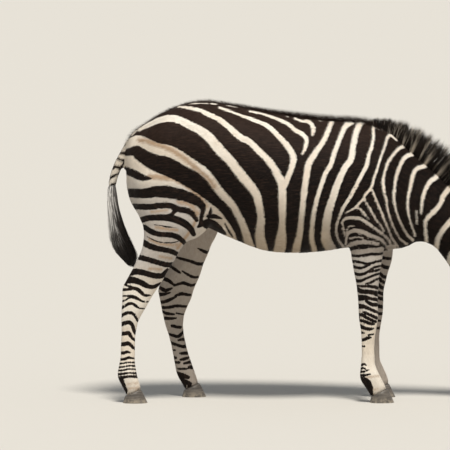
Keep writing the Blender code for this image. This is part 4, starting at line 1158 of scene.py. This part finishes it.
def lie_of_coat(points, normals, weight):
    """The way the hair lies at each point, along the surface."""
    x, y, z = points.T
    side = np.sign(y)
    blank = np.zeros(len(x))
    ways = {
        "trunk": np.stack((-1 + blank, 0.10 * side, -0.42 * smoothstep(1.25, 0.95, z)), axis=1),
        "neck": np.stack((-0.86 + blank, 0.25 * side, 0.10 + blank), axis=1),
        "leg": np.stack((-0.22 + blank, blank, -1 + blank), axis=1),
        "tail": np.stack((-0.35 + blank, blank, -1 + blank), axis=1),
    }
    down, off, out = on_head(points)
    cheek = smoothstep(0.0, -0.09, off) * smoothstep(0.36, 0.20, down)
    ways["head"] = DOWN_FACE * (1 - 0.45 * cheek)[:, None] - OFF_FACE * (0.75 * cheek)[:, None]
    ways["ear"] = -0.86 * DOWN_FACE + 0.10 * OFF_FACE + np.stack((blank, 0.42 * side, blank), axis=1)
    way = sum(weight[:, i, None] * ways[r] for i, r in enumerate(REGIONS))
    way -= normals * (way * normals).sum(axis=1)[:, None]
    return way / np.maximum(np.linalg.norm(way, axis=1), 1e-6)[:, None]


def unit(vectors):
    return vectors / np.maximum(np.linalg.norm(vectors, axis=1), 1e-9)[:, None]


def strands(name, path, half, thick, over, shade_way, marks, lie, square, finish, whole=0.8):
    """One mesh of thin solid hairs. path is (hairs, rings, 3), half each ring's half width, over the
    way each hair's upper side faces; the last ring closes to a point."""
    count, rings = path.shape[:2]
    along = path[:, 1:] - path[:, :-1]
    along = np.concatenate((along, along[:, -1:]), axis=1)
    along /= np.maximum(np.linalg.norm(along, axis=2), 1e-9)[:, :, None]
    up = over[:, None, :] - along * (along * over[:, None, :]).sum(axis=2)[:, :, None]
    up /= np.maximum(np.linalg.norm(up, axis=2), 1e-9)[:, :, None]
    wide = np.cross(up, along)
    body = path[:, :-1]
    half, thick = half[:, :-1, None], thick[:, :-1, None]
    sides = (body + wide[:, :-1] * half, body + up[:, :-1] * thick, body - wide[:, :-1] * half)
    rim = np.stack(sides, axis=2)
    each = 3 * (rings - 1) + 1
    where = np.concatenate((rim.reshape(count, -1, 3), path[:, -1:]), axis=1)
    faces = [(2, 1, 0)]
    for ring in range(rings - 2):
        a = 3 * ring
        for i, j in ((0, 1), (1, 2), (2, 0)):
            faces += [(a + i, a + j, a + 3 + j), (a + i, a + 3 + j, a + 3 + i)]
    a = 3 * (rings - 2)
    faces += [(a + i, a + j, a + 3) for i, j in ((0, 1), (1, 2), (2, 0))]
    faces = np.array(faces)
    corners = (faces[None] + (np.arange(count) * each)[:, None, None]).reshape(-1)
    mesh = bpy.data.meshes.new(name)
    mesh.vertices.add(count * each)
    mesh.vertices.foreach_set("co", np.ascontiguousarray(where, dtype=np.float32).ravel())
    mesh.loops.add(len(corners))
    mesh.loops.foreach_set("vertex_index", corners.astype(np.int32))
    mesh.polygons.add(len(corners) // 3)
    mesh.polygons.foreach_set("loop_start", np.arange(0, len(corners), 3, dtype=np.int32))
    mesh.update(calc_edges=True)
    place = np.array([ring for ring in range(rings - 1) for _ in range(3)] + [rings - 1]) / (rings - 1)
    sideways = np.array([1, 0, -1] * (rings - 1) + [0]) * 0.5
    grown = {"along": np.tile(place, count)}
    grown.update({key: np.repeat(value, each) for key, value in marks.items()})
    label(mesh, grown)
    own_lie = np.stack((0.0006 * np.tile(sideways, count), 0.02 * grown["along"]), axis=1)
    add_map(mesh, "Lie", np.repeat(lie, each, axis=0) + own_lie)
    patch = np.stack((np.tile(sideways, count) * PATCH, grown["along"] * PATCH), axis=1)
    add_map(mesh, "OFBake", np.repeat(square, each, axis=0) + patch)
    mesh.polygons.foreach_set("use_smooth", np.ones(len(mesh.polygons), dtype=bool))
    if shade_way is not None:
        own = outwards(mesh)
        soft = unit(np.repeat(shade_way, each, axis=0) * whole + own * (1 - whole))
        mesh.normals_split_custom_set_from_vertices(soft.tolist())
    mesh.materials.append(finish)
    made = piece(name, mesh)
    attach(made, "root")
    return made


skin_points, skin_normals = places(skin.data), outwards(skin.data)
skin_weight = weight
skin_faces = triangles_of(skin.data)
skin_lids = lid_gap(skin_points)[0]
skin_hole = np.linalg.norm(from_place(skin_points, NOSTRIL), axis=1)
face_middles = skin_points[skin_faces].mean(axis=1)
first, second, third = (skin_points[skin_faces[:, k]] for k in range(3))
face_cross = np.cross(second - first, third - first)
face_areas = np.linalg.norm(face_cross, axis=1) / 2
face_weight = skin_weight[skin_faces].mean(axis=1)
face_edges = 1 + 0.9 * smoothstep(0.014, 0.004, np.abs(marks["white"][skin_faces]).min(axis=1))
face_open = (skin_lids[skin_faces].max(axis=1) > -0.0035) | (skin_hole[skin_faces].min(axis=1) < 0.016)
TUFT_LENGTH = {"trunk": 0.016, "neck": 0.017, "head": 0.007, "ear": 0.008, "leg": 0.010, "tail": 0.018}
TUFT_WIDTH = {"trunk": 0.0011, "neck": 0.0011, "head": 0.0006, "ear": 0.0005, "leg": 0.0008, "tail": 0.0009}
TUFT_LIFT = {"trunk": 0.17, "neck": 0.19, "head": 0.17, "ear": 0.16, "leg": 0.14, "tail": 0.14}


def rooted(chosen, count, extra=None):
    """Random places on the chosen faces of the hide, with all that is known there."""
    areas = face_areas * chosen * ~face_open * face_edges * (1 if extra is None else extra)
    picked = draw.choice(len(areas), size=count, p=areas / areas.sum())
    a, b = draw.random(count), draw.random(count)
    fold = a + b > 1
    a, b = np.where(fold, 1 - a, a), np.where(fold, 1 - b, b)
    shares = np.stack((1 - a - b, a, b), axis=1)
    corners = skin_faces[picked]

    def blend(values):
        return (values[corners] * shares.reshape(shares.shape + (1,) * (values.ndim - 1))).sum(axis=1)

    return blend(skin_points), unit(blend(skin_normals)), blend(skin_weight)


def coat_piece(name, chosen, count, longer=1.0, lift=1.0, extra=None):
    roots, ups, share = rooted(chosen, count, extra)
    marks = markings(roots, ups, share)
    way = lie_of_coat(roots, ups, share)
    sideways = np.cross(ups, way)
    stray = draw.normal(0, 0.10, count)
    length = mixed(share, TUFT_LENGTH) * draw.uniform(0.75, 1.3, count) * longer
    length *= 1 - 0.45 * marks["muzzle"]
    length *= 0.50 + 0.50 * smoothstep(0.0, 0.012, np.abs(marks["white"]))  # neater edges to the stripes
    rise = mixed(share, TUFT_LIFT) * draw.uniform(0.6, 1.35, count) * lift
    spine = share[:, 0] + share[:, REGIONS.index("neck")] * smoothstep(0.31, 0.25, roots[:, 0])
    spine *= smoothstep(0.050, 0.008, np.abs(roots[:, 1])) * smoothstep(0.1, 0.5, ups[:, 2])
    rump = spine * smoothstep(-0.72, -0.86, roots[:, 0])
    ridge = spine * smoothstep(-0.50, 0.15, roots[:, 0])
    rise = rise + 0.55 * spine + 0.45 * rump + 0.45 * ridge
    length = length * (1 + 0.25 * spine + 0.25 * rump + 0.75 * ridge)
    way = unit(way + sideways * stray[:, None] + ups * rise[:, None])
    half = mixed(share, TUFT_WIDTH) * draw.uniform(0.8, 1.25, count)
    roots = roots - ups * 0.0007
    path = np.stack((roots, roots + way * length[:, None]), axis=1)
    lie, square = laid_flat(roots, share)
    lie = lie + draw.uniform(-0.004, 0.004, (count, 2))
    half = np.repeat(half[:, None], 2, axis=1)
    return strands(name, path, half, half * 0.35, ups, ups, marks, lie, square, hair_dye)


hair_dye = coat_finish("dyed_hair", True)
of = {r: face_weight[:, i] for i, r in enumerate(REGIONS)}
on_left = face_middles[:, 1] > 0
for side, there in (("right", ~on_left), ("left", on_left)):
    coat_piece("coat_trunk_" + side, there * of["trunk"] ** 2, 43500)
    coat_piece("coat_neck_" + side, there * of["neck"] ** 2, 24000)
    coat_piece("coat_head_" + side, there * of["head"] ** 2, 26000)
    coat_piece("coat_ear_" + side, there * of["ear"] ** 2, 8500)
    hind = face_middles[:, 0] < -0.2
    coat_piece("coat_leg_hind_" + side, there * hind * of["leg"] ** 2, 26000)
    coat_piece("coat_leg_fore_" + side, there * ~hind * of["leg"] ** 2, 13000)
on_spine = (np.abs(face_middles[:, 1]) < 0.026) & (face_middles[:, 2] > 1.15) & (face_middles[:, 0] < 0.27)
on_spine = on_spine * (of["trunk"] + of["neck"]) * smoothstep(-0.60, -0.10, face_middles[:, 0])
coat_piece("coat_spine", on_spine, 6000, longer=1.1, lift=1.6)
coat_piece("coat_tail", of["tail"] ** 2, 4500)

# The fringe at the coronet hangs over the top of the horn, and hides where leg and hoof meet.
CORONET_HEEL, CORONET_RISE, CORONET_BACK = 0.041, 0.34, 0.014
over_horn = np.full(len(face_middles), 1.0)
for leg in LEGS:
    low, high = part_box("hoof_" + leg)
    x, y, z = face_middles.T
    mine = (x > low.x - 0.01) & (x < high.x + 0.01) & (y > low.y - 0.01) & (y < high.y + 0.01)
    coronet = CORONET_HEEL + (x - low.x - CORONET_BACK) * CORONET_RISE
    over_horn = np.where(mine, z - coronet, over_horn)
facing_down = face_cross[:, 2] / face_areas / 2
coat_piece("coat_coronet", (over_horn < 0.011) & (facing_down > -0.45), 5200, longer=1.75, lift=1.3)

# ---------------------------------------------------------------- mane
# Stiff upright hair set in a strip along the crest of the neck, from the withers to between
# the ears: pale where a neck stripe runs up into it, black at the tips.

CREST = (  # along the crest: forward, up, hair's length, lean ahead of upright in degrees
    (0.226, 1.249, 0.004, -10), (0.250, 1.243, 0.024, -2), (0.275, 1.233, 0.042, 4),
    (0.305, 1.220, 0.056, 9), (0.345, 1.190, 0.077, 14), (0.398, 1.144, 0.106, 24),
    (0.498, 1.056, 0.125, 38), (0.593, 0.970, 0.134, 45), (0.683, 0.872, 0.124, 55),
    (0.756, 0.760, 0.112, 67), (0.812, 0.665, 0.094, 80), (0.838, 0.612, 0.068, 92),
    (0.850, 0.578, 0.036, 104))
MANE_HALF = 0.017
MANE_HAIRS = 9700
MANE_LOCKS = 150  # hairs draw together at their tips into so many locks


def along_rows(rows, share):
    """A place and its facts at a share of the way along some rows."""
    rows = np.array(rows)
    step = np.hypot(np.diff(rows[:, 0]), np.diff(rows[:, 1]))
    far = np.concatenate(([0], np.cumsum(step)))
    return [np.interp(share * far[-1], far, rows[:, k]) for k in range(rows.shape[1])]


share = np.sort(draw.random(MANE_HAIRS))
x, z, length, lean = along_rows(CREST, share)
out = draw.normal(0, 0.5, MANE_HAIRS).clip(-1, 1) * MANE_HALF
lock = np.floor(share * MANE_LOCKS + 0.6 * out / MANE_HALF).clip(0, MANE_LOCKS - 1).astype(int)
lock_lean = draw.normal(0, 4.2, MANE_LOCKS)
lock_long = draw.uniform(0.89, 1.06, MANE_LOCKS)
lock_pale = draw.random(MANE_LOCKS)
lean = np.radians(lean + draw.normal(0, 3.0, MANE_HAIRS) + lock_lean[lock])
length = (length + 0.014) * draw.uniform(0.66, 1.05, MANE_HAIRS) ** 0.8 * lock_long[lock]
to_lock = ((lock + 0.5) / MANE_LOCKS - share) * 0.75 * length / 0.10
to_side = -0.42 * out / MANE_HALF * draw.uniform(0.2, 0.5, MANE_HAIRS)
up = unit(np.stack((np.sin(lean), to_side, np.cos(lean)), axis=1))
roots = np.stack((x, out, z), axis=1) - up * (0.010 + 0.016 * (out / MANE_HALF) ** 2)[:, None]
forward = np.stack((np.cos(lean), np.zeros(MANE_HAIRS), -np.sin(lean)), axis=1)
bow = draw.normal(0.0, 0.006, MANE_HAIRS)
crest_way = unit(np.tile((0.64, 0.0, -0.68), (MANE_HAIRS, 1)))
pull = forward * bow[:, None] + crest_way * to_lock[:, None]
path = np.stack([roots + up * (length * t)[:, None] + pull * t * t for t in (0, 0.4, 0.75, 1)], axis=1)
mane_share = np.zeros((MANE_HAIRS, len(REGIONS)))
mane_share[:, REGIONS.index("neck")] = 1
neck_side = np.stack((x, np.where(out < 0, -0.02, 0.02), z), axis=1) - up * 0.02
marks = markings(neck_side, np.tile((0.0, 0.0, 1.0), (MANE_HAIRS, 1)), mane_share)
mane_lie, mane_square = laid_flat(neck_side, mane_share)
half = draw.uniform(0.0009, 0.0016, MANE_HAIRS)[:, None] * np.array((1, 0.95, 0.7, 0))
marks["pale_hair"] = (draw.random(MANE_HAIRS) < 0.012 + 0.42 * (lock_pale[lock] > 0.88)) * 1.0

mane_dye = Finish("mane_hair")
mane_place = mane_dye.add("ShaderNodeUVMap", uv_map="Lie").outputs["UV"]
tone = mane_dye.noise(mane_dye.stretch(mane_place, (2200, 20, 1)), 1.0, 2.0)
height = mane_dye.mark("along")
streaks = mane_dye.sum("MULTIPLY_ADD", tone, 0.016, -0.0095)
pale = mane_dye.ramp(mane_dye.sum("ADD", mane_dye.mark("white"), streaks), -0.002, 0.004)
dark_tip = mane_dye.ramp(mane_dye.sum("MULTIPLY_ADD", tone, 0.7, height), 0.50, 1.05, 1.0, 0.06)
pale = mane_dye.sum("MULTIPLY", pale, dark_tip)
pale = mane_dye.sum("MAXIMUM", pale, mane_dye.sum("MULTIPLY", mane_dye.mark("pale_hair"), 0.85))
brownish = mane_dye.mix(mane_dye.ramp(tone, 0.35, 0.75), BLACK, (0.030, 0.018, 0.012, 1))
strand_colour = mane_dye.mix(pale, brownish, (0.60, 0.52, 0.42, 1))
mane_dye.feed(mane_dye.shader, **{"Base Color": strand_colour, "Roughness": 0.6, "Specular IOR Level": 0.2})
mane = strands("mane_hair", path, half, half * 0.8, forward, None, marks, mane_lie, mane_square,
               mane_dye.material)
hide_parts("mane")

# ---------------------------------------------------------------- tail switch
# Long coarse hair grown from the lower half of the dock and hanging free: pale grey mixed
# with black near its root, black below.

TAIL_PATH = (  # down the tail: forward, up, half depth fore and aft, half width
    (-0.918, 1.010, 0.017, 0.020), (-0.926, 0.960, 0.021, 0.022), (-0.925, 0.897, 0.023, 0.026),
    (-0.915, 0.840, 0.029, 0.031), (-0.901, 0.774, 0.037, 0.034), (-0.884, 0.715, 0.048, 0.034),
    (-0.867, 0.666, 0.052, 0.031), (-0.849, 0.629, 0.037, 0.021), (-0.838, 0.600, 0.014, 0.008))
TAIL_HAIRS = 4700
TAIL_RINGS = 6

top = 0.02 + draw.random(TAIL_HAIRS) ** 1.3 * 0.40
end = np.clip(draw.normal(0.86, 0.13, TAIL_HAIRS), top + 0.35, 1.0)
turn, deep = draw.uniform(0, 2 * math.pi, TAIL_HAIRS), np.sqrt(draw.uniform(0.25, 1, TAIL_HAIRS))
swirl = draw.normal(0, 0.35, TAIL_HAIRS)
stray_out = np.abs(draw.normal(0, 0.16, TAIL_HAIRS)) * (draw.random(TAIL_HAIRS) < 0.5)
ways = []
for step in np.linspace(0, 1, TAIL_RINGS):
    at = top + (end - top) * step
    x, z, fore, wide = along_rows(TAIL_PATH, at)
    pull = deep * (0.90 + 0.10 * np.sin(7 * turn + 5 * at)) + stray_out * step ** 2
    angle = turn + swirl * step
    slope = 0.25 * fore * np.cos(angle) * pull
    ways.append(np.stack((x + fore * pull * np.cos(angle), wide * pull * np.sin(angle), z - slope), axis=1))
path = np.stack(ways, axis=1)
start = np.stack([along_rows(TAIL_PATH, top)[k] for k in (0, 1)], axis=1)
path[:, 0] = path[:, 0] * 0.35 + np.stack((start[:, 0], np.zeros(TAIL_HAIRS), start[:, 1]), axis=1) * 0.65
half = draw.uniform(0.0009, 0.0016, TAIL_HAIRS)[:, None] * np.array((0.6, 0.9, 1, 0.95, 0.65, 0))
facing = np.stack((np.cos(turn), np.sin(turn), np.zeros(TAIL_HAIRS)), axis=1)
tail_share = np.zeros((TAIL_HAIRS, len(REGIONS)))
tail_share[:, REGIONS.index("tail")] = 1
hair_lie = np.stack((turn * 0.03 + draw.uniform(0, 0.5, TAIL_HAIRS), -path[:, 0, 2]), axis=1)
tail_square = laid_flat(path[:, 0], tail_share)[1]

outer_hair = smoothstep(-0.2, 0.7, -np.cos(turn) + draw.normal(0, 0.35, TAIL_HAIRS))

tail_dye = Finish("tail_hair")
tail_place = tail_dye.add("ShaderNodeUVMap", uv_map="Lie").outputs["UV"]
tone = tail_dye.noise(tail_dye.stretch(tail_place, (2000, 0.5, 1)), 1.0, 1.0)
split = tail_dye.add("ShaderNodeSeparateXYZ")
tail_dye.feed(split, i0=tail_dye.add("ShaderNodeTexCoord").outputs["Object"])
low_down = tail_dye.sum("MULTIPLY_ADD", tone, -0.30, split.outputs[2])
low_down = tail_dye.sum("MULTIPLY_ADD", tail_dye.mark("outer_hair"), 0.12, low_down)
low_down = tail_dye.ramp(low_down, 0.63, 0.74)
low_down = tail_dye.sum("MULTIPLY", low_down, tail_dye.ramp(tail_dye.mark("outer_hair"), 0.0, 0.5, 0.15, 1.0))
grey = tail_dye.mix(tail_dye.ramp(tone, 0.36, 0.47), (0.09, 0.08, 0.075, 1), (0.84, 0.81, 0.77, 1))
blackish = tail_dye.mix(tail_dye.ramp(tone, 0.4, 0.8), BLACK, (0.035, 0.024, 0.018, 1))
tail_dye.feed(tail_dye.shader, **{"Base Color": tail_dye.mix(low_down, blackish, grey),
                                  "Roughness": 0.48, "Specular IOR Level": 0.4})
switch = strands("tail_hair", path, half, half * 0.8, facing, None, {"outer_hair": outer_hair}, hair_lie,
                 tail_square, tail_dye.material)
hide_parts("tail_switch")

# ---------------------------------------------------------------- eyes
# Glass eyes as a taxidermist sets them: a dark brown ball with a level oval pupil, a darker
# rim and a clear, wet front.

EYE_STEPS = 48
gaze = EYE_AXIS[0] * DOWN_FACE + EYE_AXIS[1] * OFF_FACE
level = fissure[0] * DOWN_FACE + fissure[1] * OFF_FACE
glass = Finish("eye_glass")
across, over = glass.mark("across"), glass.mark("over")
oval = glass.sum("SQRT", glass.sum("ADD", glass.sum("POWER", glass.sum("DIVIDE", across, 0.50), 2.0),
                                   glass.sum("POWER", glass.sum("DIVIDE", over, 0.27), 2.0)), 0.0)
squares = [glass.sum("POWER", away, 2.0) for away in (across, over)]
middle_far = glass.sum("SQRT", glass.sum("ADD", *squares), 0.0)
glass_place = glass.add("ShaderNodeTexCoord").outputs["Object"]
fibres = glass.noise(glass.stretch(glass_place, (900, 900, 900)), 1.0, 3.0)
iris = glass.mix(glass.ramp(fibres, 0.3, 0.7), (0.016, 0.008, 0.004, 1), (0.040, 0.019, 0.009, 1))
iris = glass.mix(glass.ramp(middle_far, 0.66, 0.80), iris, (0.012, 0.009, 0.008, 1))
iris = glass.mix(glass.ramp(oval, 0.94, 1.06, 1.0, 0.0), iris, (0.004, 0.004, 0.006, 1))
glass.feed(glass.shader, **{"Base Color": iris, "Roughness": 0.12, "Specular IOR Level": 0.25,
                            "Coat Weight": 0.8, "Coat Roughness": 0.02})
for side, sign in (("left", 1), ("right", -1)):
    form = bmesh.new()
    bmesh.ops.create_uvsphere(form, u_segments=EYE_STEPS, v_segments=EYE_STEPS // 2, radius=EYE_RADIUS)
    ball = bpy.data.meshes.new("eye_ball_" + side)
    form.to_mesh(ball)
    form.free()
    where = places(ball)
    axis = np.array((gaze[0], sign * EYE_AXIS[2], gaze[2]))
    flat_way = np.array((level[0], sign * fissure[2], level[2]))
    upright_way = np.cross(axis, flat_way)
    lift = np.clip(where @ axis / EYE_RADIUS, 0, 1)
    where += axis * (0.0009 * smoothstep(0.72, 1.0, lift))[:, None]
    label(ball, {"across": where @ flat_way / EYE_RADIUS, "over": where @ upright_way / EYE_RADIUS})
    where += np.array((middle[0], sign * EYE[2], middle[2])) - axis * 0.0008
    put(ball, where)
    ball.polygons.foreach_set("use_smooth", np.ones(len(ball.polygons), dtype=bool))
    ball.materials.append(glass.material)
    eye = piece("eye_ball_" + side, ball)
    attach(eye, "root")
    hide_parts("eye_" + side)

# ---------------------------------------------------------------- lashes and whiskers
# Single stiff hairs let in one by one: lashes along both lids, long feelers round the lips and
# chin, and the longer fringe inside each ear.


def edge_of_lid(across_share, upper):
    bow = 1 - across_share ** 2
    over_share = UPPER_LID * bow ** 0.7 + 0.06 if upper else -LOWER_LID * bow ** 0.85 - 0.06
    across_share = across_share * FISSURE_HALF
    out_share = math.sqrt(max(1 - across_share ** 2 - over_share ** 2, 0.01))
    return fissure * across_share + brow * over_share + EYE_AXIS * out_share


def from_head(place, sign):
    spot = np.array(HEAD_TOP) + place[0] * DOWN_FACE + place[1] * OFF_FACE
    spot[1] = sign * place[2]
    return spot


def turned(way, sign):
    made = way[0] * DOWN_FACE + way[1] * OFF_FACE
    made[1] = sign * way[2]
    return made


def bent(roots, way, long, aside, bends):
    """Points along stiff hairs: (how far up the hair, how far aside) as shares of its length."""
    return np.stack([roots + way * long * t + aside * long * s for t, s in bends], axis=1)


lash_roots, lash_ways, lash_ups, lash_long = [], [], [], []
for sign in (-1, 1):
    for upper, count, size in ((True, 52, 0.015), (False, 20, 0.007)):
        for share_across in np.linspace(-0.86, 0.86, count):
            spot = edge_of_lid(share_across + draw.normal(0, 0.012), upper)
            root = from_head(np.array(EYE) + spot * (EYE_RADIUS + 0.0016), sign)
            way = spot * 0.75 + brow * (0.12 if upper else -0.5) + fissure * share_across * 0.35
            lash_roots.append(root)
            lash_ways.append(turned(way / np.linalg.norm(way), sign))
            lash_ups.append(turned(brow * (1 if upper else -1), sign))
            lash_long.append(size * draw.uniform(0.75, 1.15))
lash_roots, lash_ways, lash_ups = (np.array(v) for v in (lash_roots, lash_ways, lash_ups))
lash_long = np.array(lash_long)[:, None]
lash_bends = ((0, 0), (0.4, -0.06), (0.75, -0.04), (1, 0.10))
path = bent(lash_roots, lash_ways, lash_long, lash_ups, lash_bends)
half = np.tile(np.array((0.00032, 0.00028, 0.0002, 0)), (len(path), 1))
bristle = Finish("bristle")
fleck = bristle.noise(bristle.add("ShaderNodeTexCoord").outputs["Object"], 300.0)
bristle_colour = bristle.mix(fleck, BLACK, (0.03, 0.022, 0.018, 1))
bristle.feed(bristle.shader, **{"Base Color": bristle_colour, "Roughness": 0.4})
blank = np.zeros((len(path), 2))
strands("lashes", path, half, half, lash_ups, None, {}, blank, blank + 0.5, bristle.material)

feelers = (of["head"] > 0.6) & (on_head(face_middles)[0] > 0.455)
roots, ups, share = rooted(feelers, 260)
long = draw.uniform(0.012, 0.042, len(roots))[:, None]
way = unit(ups + 0.5 * DOWN_FACE + draw.normal(0, 0.25, roots.shape))
feeler_bends = ((0, 0), (0.4, 0.02), (0.75, 0.08), (1, 0.2))
path = bent(roots - ups * 0.001, way, long, DOWN_FACE, feeler_bends)
half = np.tile(np.array((0.00028, 0.00024, 0.00016, 0)), (len(path), 1))
lie, square = laid_flat(roots, share)
facing = DOWN_FACE[None].repeat(len(path), 0)
strands("whiskers", path, half, half, facing, None, {}, lie, square, bristle.material)

up, across = on_ear(face_middles)
edge_of_ear = (of["ear"] > 0.5) & (np.abs(across) > 0.74) & (up > 0.10) & (up < 0.88)
roots, ups, share = rooted(edge_of_ear, 1200)
marks = markings(roots, ups, share)
up, across = on_ear(roots)
marks["white"] = np.where(up < 0.50, FADE, marks["white"])
# The fringe takes less of the soil and painted shade of the ear.
marks["soil_and_painted_shade"] *= 0.4
way = unit(EAR_ACROSS * -np.sign(across)[:, None] * 0.8 + EAR_UP * 0.62 + EAR_MOUTH * 0.22
           + draw.normal(0, 0.12, roots.shape))
way[:, 1] *= np.sign(roots[:, 1])
out_way = np.tile(EAR_MOUTH, (len(roots), 1))
out_way[:, 1] *= np.sign(roots[:, 1])
long = draw.uniform(0.016, 0.036, len(roots))[:, None]
fringe_bends = ((0, 0), (0.4, 0.05), (0.75, 0.06), (1, 0.0))
path = bent(roots - ups * 0.001, way, long, out_way, fringe_bends)
half = np.tile(np.array((0.0005, 0.00045, 0.0003, 0)), (len(path), 1))
lie, square = laid_flat(roots, share)
strands("ear_fringe", path, half, half * 0.7, out_way, None, marks, lie, square, hair_dye)

# ---------------------------------------------------------------- hooves
# Horn in one piece, grown in rings down from a soft band of skin at the coronet, ground flat
# and dusty at the sole.

HORN_MESH = 0.0024
horn = Finish("hoof_horn")
body = horn.add("ShaderNodeTexCoord").outputs["Object"]
rings = horn.noise(horn.stretch(body, (14, 14, 420)), 1.0, 2.0)
grain = horn.noise(horn.stretch(body, (500, 500, 30)), 1.0, 2.0)
dust = horn.noise(body, 60.0, 4.0)
split = horn.add("ShaderNodeSeparateXYZ")
horn.feed(split, i0=body)
colour = horn.mix(horn.ramp(rings, 0.35, 0.65), (0.058, 0.049, 0.041, 1), (0.140, 0.121, 0.101, 1))
colour = horn.mix(horn.ramp(grain, 0.4, 0.9, 0.0, 0.5), colour, (0.21, 0.185, 0.155, 1))
dusty = horn.sum("MULTIPLY", horn.ramp(split.outputs[2], 0.035, 0.0), horn.ramp(dust, 0.35, 0.65))
colour = horn.mix(dusty, colour, (0.33, 0.28, 0.215, 1))
horn.feed(horn.shader, **{"Base Color": colour, "Roughness": 0.46})
ringed = horn.bump(rings, 0.5, 0.0012, horn.bump(grain, 0.3, 0.0006))
horn.tree.links.new(ringed, horn.shader.inputs["Normal"])
for leg in LEGS:
    name = "hoof_" + leg
    hoof = remeshed(piece("horn_" + leg, gathered([name], 0.0002)), HORN_MESH)
    points, edges = places(hoof.data), edges_of(hoof.data)
    low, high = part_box(name)
    free = smoothstep(0.0015, 0.006, points[:, 2])
    smooth = spread(points, edges, 14, 0.5 * free)
    smooth[:, 2] = np.maximum(smooth[:, 2], low.z)
    normals = outwards(hoof.data)
    groove = 0.0005 * np.sin(smooth[:, 2] * 900) * free * smoothstep(high.z, high.z - 0.02, smooth[:, 2])
    put(hoof.data, smooth + normals * groove[:, None] * (1 - np.abs(normals[:, 2:3])))
    hoof.data.polygons.foreach_set("use_smooth", np.ones(len(hoof.data.polygons), dtype=bool))
    hoof.data.materials.clear()
    hoof.data.materials.append(horn.material)
    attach(hoof, "root")
    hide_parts(name)

# ---------------------------------------------------------------- bounds
# The box round all that is shown, leaving out the floor.

low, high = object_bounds()
